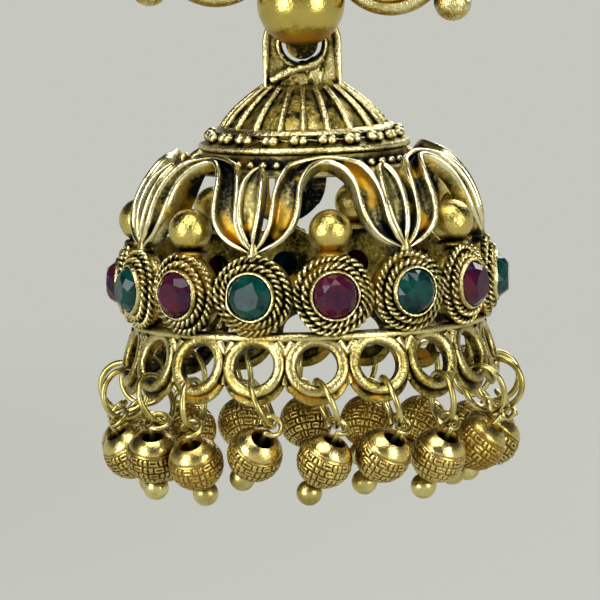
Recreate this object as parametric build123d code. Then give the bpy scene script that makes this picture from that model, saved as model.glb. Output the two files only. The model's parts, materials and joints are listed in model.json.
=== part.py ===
from build123d import *
import os

# A jhumka earring: a stud that sits on the ear lobe, and an openwork bell that
# hangs under it on a fixed eye. Millimetres, +Z up, the front faces -Y.
# The origin is on the back of the stud, where the ear post leaves it.
# The bell's own sizes are heights above the row of stones, and radii from
# the bell's axis.

# --- where things sit -------------------------------------------------------
STONE_Z = -28.0          # height of the row of stones
BELL_Y = 1.6             # the bell's axis, behind the stud's back face
SEAT_GAP = 0.05          # between a piece and the seat that holds it

# --- stones and their settings ----------------------------------------------
STONE_COUNT = 14
STONE_TURN = 8.0         # degrees from the front to the first ruby
STONE_STEP = 360 / STONE_COUNT
STONE_R = 1.63           # girdle radius
STONE_TABLE_R = 0.90     # flat top of a stone
STONE_BACK_R = 1.15      # flat back of a stone
BEZEL_R = 1.88
BEZEL_BORE_R = 1.68
BACK_BORE_R = 1.30
ROPE_R = 3.10            # outer radius of the rope border
BACK_AT = 12.2           # radii from the bell's axis, along a stone's own axis
SEAT_AT = 13.15
ROPE_AT = 13.75
RIM_AT = 14.3
TABLE_AT = 15.3
GIRDLE = 0.4             # height of a stone's upright edge
CUP_EDGE = 0.35          # bevels of the setting's back and front edges
ROPE_BEVEL = 0.6

# --- the bell's wall ----------------------------------------------------------
PETAL_COUNT = 7
PETAL_TURN = STONE_TURN + STONE_STEP
ROOF_Z = 9.85
ROOF_THICK = 0.75
MOUTH_R = 5.7            # hole in the roof, under the crown
CREST = (8.6, 10.15)     # inner radius and height of the petals' crest
CREST_STEP = 0.5         # how far the crest slopes down to the roof
CREST_WIDTH = 0.4
WALL_R = 13.0            # outer wall at the petal tips
WALL_BULGE = (11.65, 8.0)     # radius and height midway up the outer wall
INNER_BULGE = (10.7, 7.5)     # the same on the inside
CEILING_R = 8.0          # where the inside turns into the flat ceiling
WALL = 1.0
WALL_TURN_Z = 4.6        # the wall is upright below this
WALL_FOOT_Z = 2.5
RIM_TOP_Z = -2.8
RIM_FOOT_Z = -3.55
RIM_R = 13.1
BALL_R = 1.6
BALL_AT = 12.5
BALL_Z = 4.65
BALL_PEG_R = 0.65
BALL_PEG_FOOT_Z = 2.8
# half of an arch window's outline, as (half width, height)
WINDOW_FOOT = 4.6
WINDOW_FLARE = (2.65, 4.1)
WINDOW_WAIST = (1.75, 6.4)
WINDOW_SHOULDER = (1.25, 8.15)
WINDOW_TOP_Z = 8.95
# a petal's slit, as (aside, height): its two ends and its two sides
SLIT_FOOT = (0.15, 3.9)
SLIT_TOP = (0.85, 8.8)
SLIT_OUTER = (1.10, 6.3)
SLIT_INNER = (0.30, 6.5)
CUT_FROM = 8.0           # the cutters reach from here out through the wall
CUT_DEPTH = 9.0
CUT_BELOW = 0.2

# --- the skirt of loops ---------------------------------------------------------
LOOP_COUNT = 18
LOOP_TURN = 2.1
LOOP_STEP = 360 / LOOP_COUNT
LOOP_AT = 13.35
LOOP_Z = -5.18
LOOP_R = 2.38
LOOP_HOLE_R = 1.50
LOOP_THICK = 0.95
LOOP_FLARE = 16.6        # degrees that the skirt leans out

# --- crown and bail ---------------------------------------------------------------
FLANGE_R = 7.95
FLANGE_THICK = 0.5       # at its edge
FLANGE_RISE = 0.6        # how far its top climbs from there to the dome
DOME_FOOT_R = 6.1
DOME_BAND_R = 6.25
DOME_FOOT_Z = 11.75
DOME_SHOULDER = (4.75, 13.05)
DOME_TOP_R = 2.85
DOME_TOP_Z = 14.6
DOME_WALL = 0.9
SPIGOT_WALL = 0.7
SPIGOT_Z = 8.9
BAIL_Z = 17.7
BAIL_HOLE_R = 1.50
BAIL_R = 2.96
BAIL_DEPTH = 2.4
BAIL_FOOT_Z = 14.1
DOME_TOP_RISE = 0.15     # the dome's flat top is slightly higher in the middle
DOME_INSIDE = (4.1, 12.35)    # radius and height midway up the dome's inside
DOME_CEILING_INSET = 0.3
BAND_EDGE = 0.1          # bevel above the dome's band

# --- the stud ------------------------------------------------------------------------
FAN_Z = STONE_Z + 21.6   # the straight lower edge of the fan
FAN_R = 12.7
FAN_LEAN = 4.2           # degrees that the fan is turned about its ball, right side down
PLATE = 1.2
RIM_BAND = 1.1
RIM_PROUD = 0.55
BOSS_Z = STONE_Z + 27.8
BOSS_R = 5.2
BOSS_PROUD = 1.1
BOSS_SUNK = 0.05         # how far the swelling is let into the plate
SCROLL = (6.5, STONE_Z + 24.65, 4.4)     # x, z, radius of a large lower lobe
CURL = (11.3, STONE_Z + 21.45, 1.4)      # x, z, radius of an end curl
SCROLL_PROUD = 0.9
DROP_BALL_R = 3.27
DROP_BALL_Y = -1.4
DROP_BALL_Z = STONE_Z + 20.9
HOOK_R = 1.2
HOOK_Z = STONE_Z + BAIL_Z + BAIL_HOLE_R - HOOK_R - SEAT_GAP
HOOK_WIDTH = 2.0
HOOK_BACK = (BELL_Y + 1.45, BELL_Y + 2.45)
HOOK_TOP = (STONE_Z + 21.1, STONE_Z + 22.1)
HOOK_IN_BALL = 1.0       # how far the bar reaches into the ball past its centre
POST_R = 0.42
POST_LENGTH = 10.5
POST_FOOT_R = 1.5
POST_FOOT = 0.35
POST_TIP = 0.15          # bevel at the post's end

# --- the drops ---------------------------------------------------------------------------
WIRE_R = 0.225
RING_R = 1.84            # centre line of a jump ring
HANG_AT = 14.2
HANG_Z = -6.19           # top of a jump ring's centre line, over its loop
LINK_ANGLE = 20.0        # where the eye sits on the ring, outward from its lowest point
EYE_R = 0.80
EYE_WIRE_R = 0.20
EYE_TILT = 45.0
EYE_ARC = 305.0
PIN_TILT = 36.0
PIN_REACH = 2.52         # from the eye to the bead's centre
HEAD_REACH = 2.90        # from the bead's centre to the head's centre
HEAD_R = 0.96
BEAD_R = 2.06
BEAD_WALL = 0.35
BEAD_MOUTH_R = 0.90
BEAD_FOOT_R = 0.50
# How each drop hangs, from the front one on, anticlockwise seen from above.
# Columns, in degrees: the drop's turn, the ring's lean, the pin's lean and the pin's tip.
DROP_LEANS = (
    (14, -20, 19, -9),
    (-9, -17, 26, 0),
    (-16, -5, 11, -3),
    (-10, -17, 24, 0),
    (-16, -6, 24, 0),
    (-7, 4, -5, 4),
    (5, 9, -12, -6),
    (8, 5, -9, 5),
    (-8, -4, 6, 0),
    (-5, -7, 12, -8),
    (-6, 8, -10, 6),
    (5, 6, -8, 0),
    (8, -2, 5, -5),
    (-7, 5, -6, 0),
    (18, -1, -2, 0),
    (21, -22, 17, -12),
    (13, -2, 1, -3),
    (8, -25, 33, 0),
)


def around(turn, shape):
    """A shape built at the front, turned about the bell's axis."""
    return Rot(0, 0, turn) * shape


def fused(first, others):
    """One solid of a first shape and the shapes that are soldered to it."""
    return (first + list(others)).clean()


def spun(outline):
    """A solid turned on the bell's axis from a half outline of (radius, height)."""
    return revolve(Plane.XZ * make_face(outline), Axis.Z)


def tube(inner, outer, low, high):
    """A plain ring about the bell's axis."""
    return Pos(0, 0, low) * extrude(Circle(outer) - Circle(inner), high - low)


def placed(shape):
    """Move a piece from the bell's own heights to the earring's frame."""
    return Pos(0, BELL_Y, STONE_Z) * shape


# --- bell ---------------------------------------------------------------------------------

def bell_wall():
    """The domed wall and its roof, before the windows are cut."""
    inner = WALL_R - WALL
    ceiling = ROOF_Z - ROOF_THICK
    crest_out = (CREST[0] + CREST_WIDTH, CREST[1])
    outline = [
        Polyline((MOUTH_R, ROOF_Z), (CREST[0] - CREST_STEP, ROOF_Z), CREST, crest_out),
        ThreePointArc(crest_out, WALL_BULGE, (WALL_R, WALL_TURN_Z)),
        Polyline((WALL_R, WALL_TURN_Z), (WALL_R, WALL_FOOT_Z), (inner, WALL_FOOT_Z), (inner, WALL_TURN_Z)),
        ThreePointArc((inner, WALL_TURN_Z), INNER_BULGE, (CEILING_R, ceiling)),
        Polyline((CEILING_R, ceiling), (MOUTH_R, ceiling), (MOUTH_R, ROOF_Z)),
    ]
    return spun(outline)


def mirrored(point):
    """The same point on the other side of the middle."""
    return (-point[0], point[1])


def cutter(edge):
    """A cutter of that outline, which reaches out through the wall at the front."""
    return Pos(0, -CUT_FROM, 0) * extrude(Plane.XZ * make_face(edge), CUT_DEPTH)


def arch_window():
    """The opening between two petals, round a ball, as a cutter at the front."""
    foot = (WINDOW_FOOT, WALL_FOOT_Z - CUT_BELOW)
    top = (0, WINDOW_TOP_Z)
    return cutter([
        Line(mirrored(foot), foot),
        ThreePointArc(foot, WINDOW_FLARE, WINDOW_WAIST),
        ThreePointArc(WINDOW_WAIST, WINDOW_SHOULDER, top),
        ThreePointArc(top, mirrored(WINDOW_SHOULDER), mirrored(WINDOW_WAIST)),
        ThreePointArc(mirrored(WINDOW_WAIST), mirrored(WINDOW_FLARE), mirrored(foot)),
    ])


def leaf_slit():
    """The slit beside a petal's middle leaf, as a cutter at the front."""
    return cutter([
        ThreePointArc(SLIT_FOOT, SLIT_OUTER, SLIT_TOP),
        ThreePointArc(SLIT_TOP, SLIT_INNER, SLIT_FOOT),
    ])


def outward(outline):
    """A solid turned on a stone's axis from (radius, distance from the bell's axis)."""
    solid = revolve(Plane.XZ * make_face(Polyline(*outline, close=True)), Axis.Z)
    return Rot(90, 0, 0) * solid


def setting():
    """One open-backed cup with its flared border, at the front."""
    return outward([
        (BACK_BORE_R, BACK_AT),
        (ROPE_R - CUP_EDGE, BACK_AT),
        (ROPE_R, BACK_AT + CUP_EDGE),
        (ROPE_R, ROPE_AT - CUP_EDGE),
        (ROPE_R - ROPE_BEVEL, ROPE_AT),
        (BEZEL_R, ROPE_AT),
        (BEZEL_R, RIM_AT),
        (BEZEL_BORE_R, RIM_AT),
        (BEZEL_BORE_R, SEAT_AT - SEAT_GAP),
        (BACK_BORE_R, SEAT_AT - SEAT_GAP),
    ])


def ball():
    """One ball on its short peg, at the front."""
    peg_height = BALL_Z - BALL_PEG_FOOT_Z
    peg = Pos(0, -BALL_AT, BALL_PEG_FOOT_Z + peg_height / 2) * Cylinder(BALL_PEG_R, peg_height)
    return Pos(0, -BALL_AT, BALL_Z) * Sphere(BALL_R) + peg


def loop():
    """One loop of the flared skirt, at the front."""
    flat = Circle(LOOP_R) - Circle(LOOP_HOLE_R)
    disc = extrude(flat, LOOP_THICK / 2, both=True)
    return Pos(0, -LOOP_AT, LOOP_Z) * Rot(90 - LOOP_FLARE, 0, 0) * disc


def bell():
    """The whole bell: petals, settings, balls, rim and loops in one casting."""
    wall = bell_wall()
    cutters = []
    for index in range(PETAL_COUNT):
        turn = index * 360 / PETAL_COUNT
        cutters.append(around(STONE_TURN + turn, arch_window()))
        cutters.append(around(PETAL_TURN + turn, leaf_slit()))
    wall = wall - cutters
    rim = tube(WALL_R - WALL, RIM_R, RIM_FOOT_Z, RIM_TOP_Z)
    settings = [around(STONE_TURN + i * STONE_STEP, setting()) for i in range(STONE_COUNT)]
    balls = [around(STONE_TURN + i * 360 / PETAL_COUNT, ball()) for i in range(PETAL_COUNT)]
    loops = [around(LOOP_TURN + i * LOOP_STEP, loop()) for i in range(LOOP_COUNT)]
    return placed(fused(wall, [rim] + settings + balls + loops))


def stone():
    """One round faceted stone, plain here, at the front."""
    return outward([
        (0, SEAT_AT),
        (STONE_BACK_R, SEAT_AT),
        (STONE_R, RIM_AT + SEAT_GAP - GIRDLE),
        (STONE_R, RIM_AT + SEAT_GAP),
        (STONE_TABLE_R, TABLE_AT),
        (0, TABLE_AT),
    ])


def stones(first):
    """Every other stone of the row, from the first one given."""
    turns = [STONE_TURN + (first + 2 * i) * STONE_STEP for i in range(STONE_COUNT // 2)]
    return Compound(children=[placed(around(turn, stone())) for turn in turns])


# --- crown --------------------------------------------------------------------------------

def crown():
    """Flange, ribbed dome (plain here) and bail in one casting."""
    foot = ROOF_Z + SEAT_GAP
    flange_top = foot + FLANGE_THICK
    spigot_out = MOUTH_R - SEAT_GAP
    spigot_in = spigot_out - SPIGOT_WALL
    ceiling = DOME_TOP_Z - DOME_WALL
    ceiling_edge = (DOME_TOP_R - DOME_CEILING_INSET, ceiling)
    summit = (0, DOME_TOP_Z + DOME_TOP_RISE)
    outline = [
        Polyline(summit, (0, ceiling), ceiling_edge),
        ThreePointArc(ceiling_edge, DOME_INSIDE, (spigot_in, flange_top)),
        Polyline(
            (spigot_in, flange_top),
            (spigot_in, SPIGOT_Z),
            (spigot_out, SPIGOT_Z),
            (spigot_out, foot),
            (FLANGE_R, foot),
            (FLANGE_R, flange_top),
            (DOME_BAND_R, flange_top + FLANGE_RISE),
            (DOME_BAND_R, DOME_FOOT_Z - BAND_EDGE),
            (DOME_FOOT_R, DOME_FOOT_Z),
        ),
        ThreePointArc((DOME_FOOT_R, DOME_FOOT_Z), DOME_SHOULDER, (DOME_TOP_R, DOME_TOP_Z)),
        Line((DOME_TOP_R, DOME_TOP_Z), summit),
    ]
    return placed(fused(spun(outline), [bail()]))


def bail():
    """The stirrup on the dome, with the round hole that hangs on the stud's eye."""
    legs_height = BAIL_Z - BAIL_FOOT_Z
    legs = Pos(0, BAIL_FOOT_Z + legs_height / 2) * Rectangle(2 * BAIL_R, legs_height)
    arch = Pos(0, BAIL_Z) * Circle(BAIL_R)
    hole = Pos(0, BAIL_Z) * Circle(BAIL_HOLE_R)
    return extrude(Plane.XZ * (legs + arch - hole), BAIL_DEPTH / 2, both=True)


# --- stud ----------------------------------------------------------------------------------

def stud_plate():
    """The fan's flat plate with its lower scrolls and end curls, and the raised edge."""
    sky = Pos(0, FAN_Z + FAN_R / 2) * Rectangle(2 * FAN_R, FAN_R)
    fan = (Pos(0, FAN_Z) * Circle(FAN_R)) & sky
    inner_sky = Pos(0, FAN_Z + FAN_R / 2 + RIM_BAND) * Rectangle(2 * FAN_R, FAN_R)
    inner = (Pos(0, FAN_Z) * Circle(FAN_R - RIM_BAND)) & inner_sky
    plate = extrude(Plane.XZ * fan, PLATE)
    edge = extrude(Plane.XZ * (fan - inner), PLATE + RIM_PROUD)
    pieces = [edge]
    for side in (-1, 1):
        for x, z, radius in (SCROLL, CURL):
            pieces.append(extrude(Plane.XZ * (Pos(side * x, z) * Circle(radius)), PLATE + SCROLL_PROUD))
    return plate, pieces


def stud_boss():
    """The low round swelling of the fan's face."""
    ball_r = (BOSS_R ** 2 + BOSS_PROUD ** 2) / (2 * BOSS_PROUD)
    swell = Pos(0, ball_r - PLATE - BOSS_PROUD, BOSS_Z) * Sphere(ball_r)
    depth = BOSS_PROUD + BOSS_SUNK
    space = Pos(0, BOSS_SUNK - PLATE - depth / 2, BOSS_Z) * Box(2 * FAN_R, depth, 2 * FAN_R)
    return swell & space


def stud_hook():
    """The fixed eye behind the ball: a thick bar, a riser and a top strap."""
    front = DROP_BALL_Y - HOOK_IN_BALL
    bar_length = HOOK_BACK[1] - front
    bar = Pos(0, front + bar_length / 2, HOOK_Z) * Rot(90, 0, 0) * Cylinder(HOOK_R, bar_length)
    riser_low = HOOK_Z
    riser = Pos(0, sum(HOOK_BACK) / 2, (riser_low + HOOK_TOP[1]) / 2) * Box(
        HOOK_WIDTH, HOOK_BACK[1] - HOOK_BACK[0], HOOK_TOP[1] - riser_low)
    strap_length = HOOK_BACK[1] + PLATE / 2
    strap = Pos(0, HOOK_BACK[1] - strap_length / 2, sum(HOOK_TOP) / 2) * Box(
        HOOK_WIDTH, strap_length, HOOK_TOP[1] - HOOK_TOP[0])
    return [bar, riser, strap]


def leaning(shape):
    """Turn a piece of the fan about the ball's centre, while the eye behind stays upright."""
    return Pos(0, 0, DROP_BALL_Z) * Rot(0, FAN_LEAN, 0) * Pos(0, 0, -DROP_BALL_Z) * shape


def stud():
    """Plate, scrolls, ball and hanging eye, soldered into one piece."""
    plate, pieces = stud_plate()
    fan_pieces = [leaning(piece) for piece in pieces + [stud_boss()]]
    reach = 2 * FAN_R
    front_half = Pos(0, -reach / 2, DROP_BALL_Z) * Box(reach, reach, reach)
    drop_ball = (Pos(0, DROP_BALL_Y, DROP_BALL_Z) * Sphere(DROP_BALL_R)) & front_half
    return fused(leaning(plate), fan_pieces + [drop_ball] + stud_hook())


def ear_post():
    """The plain post with the foot that sits on the stud's back."""
    foot = Rot(-90, 0, 0) * extrude(Circle(POST_FOOT_R), POST_FOOT)
    pin = Rot(-90, 0, 0) * extrude(Circle(POST_R), POST_LENGTH)
    return foot + chamfer(pin.edges().sort_by(Axis.Y)[-1], POST_TIP)


# --- drops ---------------------------------------------------------------------------------

def hang_place(drop_turn):
    """Where a drop hangs: the top of its ring's centre line, turned by its own turn."""
    return Pos(0, -HANG_AT, HANG_Z) * Rot(0, 0, drop_turn)


def jump_ring(drop_turn, ring_lean):
    """One closed ring through its loop, at the front."""
    ring = Pos(0, 0, -RING_R) * Rot(0, 90, 0) * Torus(RING_R, WIRE_R)
    return hang_place(drop_turn) * Rot(0, ring_lean, 0) * ring


def eye_place(drop_turn, ring_lean, pin_lean, pin_tip):
    """Where a head pin's eye lies on its ring; the pin leans about this point."""
    link = Rot(0, ring_lean, 0) * Pos(0, 0, -RING_R) * Rot(-LINK_ANGLE, 0, 0) * Pos(0, 0, -RING_R)
    point = (hang_place(drop_turn) * link).position
    return Pos(*point) * Rot(0, 0, drop_turn) * Rot(0, pin_lean, 0) * Rot(pin_tip, 0, 0)


def pin_axis_place():
    """The bead's centre and axis, seen from the eye: +Z runs up the pin."""
    front = Rot(EYE_TILT, 0, 0) * Pos(0, -EYE_R, 0)
    return Pos(*front.position) * Rot(PIN_TILT, 0, 0) * Pos(0, 0, -PIN_REACH)


def head_pin():
    """Ball head, straight shank and open eye, bent from one wire."""
    eye = Rot(EYE_TILT, 0, 0) * Rot(0, 0, -90) * Torus(EYE_R, EYE_WIRE_R, 0, 360, EYE_ARC)
    shank_length = PIN_REACH + HEAD_REACH
    shank = Pos(0, 0, PIN_REACH - shank_length / 2) * Cylinder(EYE_WIRE_R, shank_length)
    elbow = Pos(0, 0, PIN_REACH) * Sphere(EYE_WIRE_R)
    head = Pos(0, 0, -HEAD_REACH) * Sphere(HEAD_R)
    return eye + pin_axis_place() * (shank + elbow + head)


def bead():
    """A hollow bead, open wide at the top and narrow at the foot."""
    shell = Sphere(BEAD_R) - Sphere(BEAD_R - BEAD_WALL)
    mouth = Pos(0, 0, BEAD_R / 2) * Cylinder(BEAD_MOUTH_R, BEAD_R)
    foot = Pos(0, 0, -BEAD_R / 2) * Cylinder(BEAD_FOOT_R, BEAD_R)
    return pin_axis_place() * (shell - mouth - foot)


def save(name, shape):
    """Write one piece as parts/NAME.step."""
    export_step(shape, f"parts/{name}.step")


def main():
    """Build and write every piece."""
    os.makedirs("parts", exist_ok=True)
    save("stud", stud())
    save("ear_post", ear_post())
    save("crown", crown())
    save("bell", bell())
    save("ruby_stones", stones(0))
    save("green_stones", stones(1))
    pins = []
    for index, (drop_turn, ring_lean, pin_lean, pin_tip) in enumerate(DROP_LEANS):
        turn = LOOP_TURN + index * LOOP_STEP
        eye = eye_place(drop_turn, ring_lean, pin_lean, pin_tip)
        pins.append(placed(around(turn, eye * head_pin())))
        save(f"jump_ring_{index + 1:02d}", placed(around(turn, jump_ring(drop_turn, ring_lean))))
        save(f"bead_{index + 1:02d}", placed(around(turn, eye * bead())))
    save("head_pins", Compound(children=pins))


main()
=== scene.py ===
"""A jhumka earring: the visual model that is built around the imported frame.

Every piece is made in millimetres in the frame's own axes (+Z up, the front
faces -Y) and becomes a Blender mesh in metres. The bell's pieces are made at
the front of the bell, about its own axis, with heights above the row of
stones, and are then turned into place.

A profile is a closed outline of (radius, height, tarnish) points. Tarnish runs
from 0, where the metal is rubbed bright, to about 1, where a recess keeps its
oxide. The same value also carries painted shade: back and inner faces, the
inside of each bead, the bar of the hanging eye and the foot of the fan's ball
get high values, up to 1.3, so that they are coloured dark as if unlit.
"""

import json
import logging
import math
import random
from collections.abc import Callable, Iterable, Sequence
from dataclasses import dataclass, field
from enum import Enum

import bmesh
import bpy
import numpy as np
from mathutils import Matrix, Vector


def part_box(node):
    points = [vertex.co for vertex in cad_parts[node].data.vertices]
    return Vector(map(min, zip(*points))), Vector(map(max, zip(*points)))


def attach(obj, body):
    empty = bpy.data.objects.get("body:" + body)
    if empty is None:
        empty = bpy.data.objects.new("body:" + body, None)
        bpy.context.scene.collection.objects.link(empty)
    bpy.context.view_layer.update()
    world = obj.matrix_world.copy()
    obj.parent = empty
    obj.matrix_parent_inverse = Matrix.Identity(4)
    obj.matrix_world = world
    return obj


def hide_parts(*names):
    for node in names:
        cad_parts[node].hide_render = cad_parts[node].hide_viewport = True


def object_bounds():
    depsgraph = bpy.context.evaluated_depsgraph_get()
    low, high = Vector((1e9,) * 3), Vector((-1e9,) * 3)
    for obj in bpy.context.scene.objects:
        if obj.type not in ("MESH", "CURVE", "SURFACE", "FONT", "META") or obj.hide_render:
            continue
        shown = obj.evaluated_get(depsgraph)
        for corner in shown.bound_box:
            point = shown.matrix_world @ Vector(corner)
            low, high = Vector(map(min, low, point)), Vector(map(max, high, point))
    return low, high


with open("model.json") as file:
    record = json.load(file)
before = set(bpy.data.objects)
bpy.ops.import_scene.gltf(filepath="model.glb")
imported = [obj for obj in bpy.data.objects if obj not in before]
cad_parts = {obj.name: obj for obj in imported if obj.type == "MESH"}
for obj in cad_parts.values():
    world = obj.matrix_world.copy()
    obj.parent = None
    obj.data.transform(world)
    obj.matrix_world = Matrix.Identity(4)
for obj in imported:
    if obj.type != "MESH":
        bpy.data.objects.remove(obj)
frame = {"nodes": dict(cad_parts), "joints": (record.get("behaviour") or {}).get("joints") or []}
CAD_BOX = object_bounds()

MM = 0.001
# edges that bend by more degrees than this stay sharp
SHARP_ANGLE = 48.0
# a shell turned about an axis stops this many millimetres short of it
CORE = 0.02
LOG = logging.getLogger("jhumka")

X_AXIS = Vector((1, 0, 0))
Y_AXIS = Vector((0, 1, 0))
Z_AXIS = Vector((0, 0, 1))

Profile = list[tuple[float, float, float]]
Edge = tuple[tuple[float, float], ...]


class Body(Enum):
    """The two bodies of the frame, which the pieces ride on."""

    STUD = "stud"
    BELL = "bell"


class Slot(Enum):
    """The names of the record's material slots."""

    ANTIQUE = "antique_gold"
    BEAD = "bead_gold"
    RUBY = "ruby_glass"
    GREEN = "green_glass"


# --- small geometry ---------------------------------------------------------------


def turned(degrees: float, axis: str = "Z") -> Matrix:
    """Return a rotation of some degrees about one axis."""
    return Matrix.Rotation(math.radians(degrees), 4, axis)


def moved(x: float, y: float, z: float) -> Matrix:
    """Return a move by x, y and z millimetres."""
    return Matrix.Translation((x, y, z))


def round_angles(count: int) -> list[float]:
    """Return the angles in radians that divide a full turn evenly."""
    return [2 * math.pi * i / count for i in range(count)]


def on_disc(radius: float, angle: float, height: float) -> Vector:
    """Return the point at a radius, an angle in radians and a height about local Z."""
    return Vector((radius * math.cos(angle), radius * math.sin(angle), height))


def smooth_path(keys: Sequence[tuple[float, ...]], count: int) -> list[tuple[float, ...]]:
    """Draw a smooth line through a few key points.

    Args:
        keys: The points the line goes through, each a tuple of numbers.
        count: How many steps the line gets in all.

    Returns:
        count + 1 points, evenly spread over the spans between the keys.
    """
    ends = [keys[0], *keys, keys[-1]]
    line = []
    for step in range(count + 1):
        place = step * (len(keys) - 1) / count
        span = min(int(place), len(keys) - 2)
        t = place - span
        before, start, end, after = ends[span:span + 4]
        point = []
        for a, b, c, d in zip(before, start, end, after):
            bend = (2 * a - 5 * b + 4 * c - d) * t + (3 * b - a - 3 * c + d) * t * t
            point.append(b + 0.5 * t * (c - a + bend))
        line.append(tuple(point))
    return line


def smooth_curve(keys: Sequence[Vector], count: int) -> list[Vector]:
    """Return the smooth line of count steps through a few key points in space."""
    return [Vector(point) for point in smooth_path([tuple(key) for key in keys], count)]


@dataclass
class Casting:
    """The shells of one cast piece, gathered before they become one mesh.

    Each point carries a tarnish value, which also holds painted shade on back and
    inner faces. Points may also carry a raw value, which is 1 where a recess shows
    orange plating and no oxide, and on the fan's ball, where the orange towards its
    foot is a painted reflection.
    """

    points: list[Vector] = field(default_factory=list)
    faces: list[tuple[int, ...]] = field(default_factory=list)
    tarnish_and_shade: list[float] = field(default_factory=list)
    raw_and_reflected: dict[int, float] = field(default_factory=dict)

    def lattice(self, rows: Sequence[Sequence[Vector]], place: Matrix, ring: bool = False,
                tarnish_and_shade: Sequence[float] | float = 0.0) -> None:
        """Add one shell made of rows of points, each row a closed section.

        Args:
            rows: The sections, all with the same number of points.
            place: Where the shell goes.
            ring: Whether the last section joins the first; if not, both ends are closed.
            tarnish_and_shade: One value for the shell, or one for each point of a section.
        """
        first = len(self.points)
        width = len(rows[0])
        dark = list(tarnish_and_shade) if isinstance(tarnish_and_shade, Sequence) else [tarnish_and_shade] * width
        for row in rows:
            self.points.extend(place @ point for point in row)
            self.tarnish_and_shade.extend(dark)
        count = len(rows)
        for r in range(count if ring else count - 1):
            here, there = first + r * width, first + (r + 1) % count * width
            for c in range(width):
                d = (c + 1) % width
                self.faces.append((here + c, here + d, there + d, there + c))
        if not ring:
            self.faces.append(tuple(range(first, first + width)))
            self.faces.append(tuple(range(first + (count - 1) * width, first + count * width)))

    def lathed(self, section: Callable[[float], Profile], angles: Sequence[float], place: Matrix,
               ring: bool = True) -> None:
        """Add a shell that carries a section round the local Z axis.

        Args:
            section: Gives the section at an angle in radians.
            angles: The angles at which the section is drawn.
            place: Where the shell goes.
            ring: Whether the last section joins the first.
        """
        sections = [section(angle) for angle in angles]
        rows = [[on_disc(r, angle, h) for r, h, _ in points] for angle, points in zip(angles, sections)]
        first = len(self.tarnish_and_shade)
        self.lattice(rows, place, ring)
        self.tarnish_and_shade[first:] = [dark for points in sections for _, _, dark in points]

    def spun(self, profile: Profile, place: Matrix, steps: int = 96) -> None:
        """Add a shell turned about the local Z axis from one profile, in some steps."""
        self.lathed(lambda _: profile, round_angles(steps), place)

    def tube(self, path: Sequence[Vector], radii: Sequence[float], normal: Vector, place: Matrix,
             count: int = 10, flatness: float = 1.0, tarnish_and_shade: float = 0.0) -> None:
        """Add a rod swept along a path.

        Args:
            path: The points of the rod's centre line.
            radii: The rod's radius at each point.
            normal: A direction that is never along the path.
            place: Where the rod goes.
            count: How many points go round the section.
            flatness: How high the section is, for its width.
            tarnish_and_shade: The rod's tarnish.
        """
        rows = []
        for index, (point, radius) in enumerate(zip(path, radii)):
            before = path[max(index - 1, 0)]
            after = path[min(index + 1, len(path) - 1)]
            side = (after - before).cross(normal).normalized()
            up = side.cross(after - before).normalized()
            rows.append([point + radius * (math.cos(a) * side + flatness * math.sin(a) * up)
                         for a in round_angles(count)])
        self.lattice(rows, place, tarnish_and_shade=tarnish_and_shade)

    def globe(self, centre: Vector, radius: float, place: Matrix, steps: int = 16,
              tarnish_and_shade: float = 0.0) -> None:
        """Add a plain ball with its two poles closed by small caps.

        Args:
            centre: The ball's centre, in the place's own axes.
            radius: The ball's radius.
            place: Where the ball goes.
            steps: How many points go round it.
            tarnish_and_shade: The ball's tarnish.
        """
        half = steps // 2
        cap = 0.12
        rows = []
        for i in range(half + 1):
            lift = math.pi * (min(max(i, cap), half - cap) / half - 0.5)
            level, reach = radius * math.sin(lift), radius * math.cos(lift)
            rows.append([centre + on_disc(reach, a, level) for a in round_angles(steps)])
        self.lattice(rows, place, tarnish_and_shade=tarnish_and_shade)

    def slab(self, low: Vector, high: Vector, tarnish_and_shade: float = 0.0) -> None:
        """Add a block with softened long edges.

        Args:
            low: Its lowest corner.
            high: Its highest corner.
            tarnish_and_shade: The block's tarnish.
        """
        soft = 0.12 * min(high.x - low.x, high.z - low.z)
        outline = [
            (low.x + soft, low.z), (high.x - soft, low.z), (high.x, low.z + soft), (high.x, high.z - soft),
            (high.x - soft, high.z), (low.x + soft, high.z), (low.x, high.z - soft), (low.x, low.z + soft),
        ]
        rows = [[Vector((x, y, z)) for x, z in outline] for y in (low.y, high.y)]
        self.lattice(rows, Matrix(), tarnish_and_shade=tarnish_and_shade)

    def make(self, name: str, finish: bpy.types.Material, smooth: bool = True) -> bpy.types.Object:
        """Turn the gathered shells into one Blender object.

        Args:
            name: The object's plain name.
            finish: The material it wears.
            smooth: Whether the shells are shaded smooth, apart from sharp edges.

        Returns:
            The new object, in metres.
        """
        mesh = bpy.data.meshes.new(name)
        mesh.from_pydata([MM * point for point in self.points], [], self.faces)
        work = bmesh.new()
        work.from_mesh(mesh)
        bmesh.ops.recalc_face_normals(work, faces=work.faces)
        work.to_mesh(mesh)
        work.free()
        # the tarnish values also hold painted shade, and the raw values the painted reflection at the foot
        # of the fan's ball
        raw_and_reflected = [self.raw_and_reflected.get(i, 0.0) for i in range(len(self.points))]
        for label, values in (("tarnish_and_shade", self.tarnish_and_shade), ("raw_and_reflected", raw_and_reflected)):
            mesh.attributes.new(label, "FLOAT", "POINT").data.foreach_set("value", values)
        mesh.polygons.foreach_set("use_smooth", [smooth] * len(mesh.polygons))
        if smooth:
            mesh.set_sharp_from_angle(angle=math.radians(SHARP_ANGLE))
        mesh.materials.append(finish)
        piece = bpy.data.objects.new(name, mesh)
        bpy.context.scene.collection.objects.link(piece)
        return piece


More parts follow.
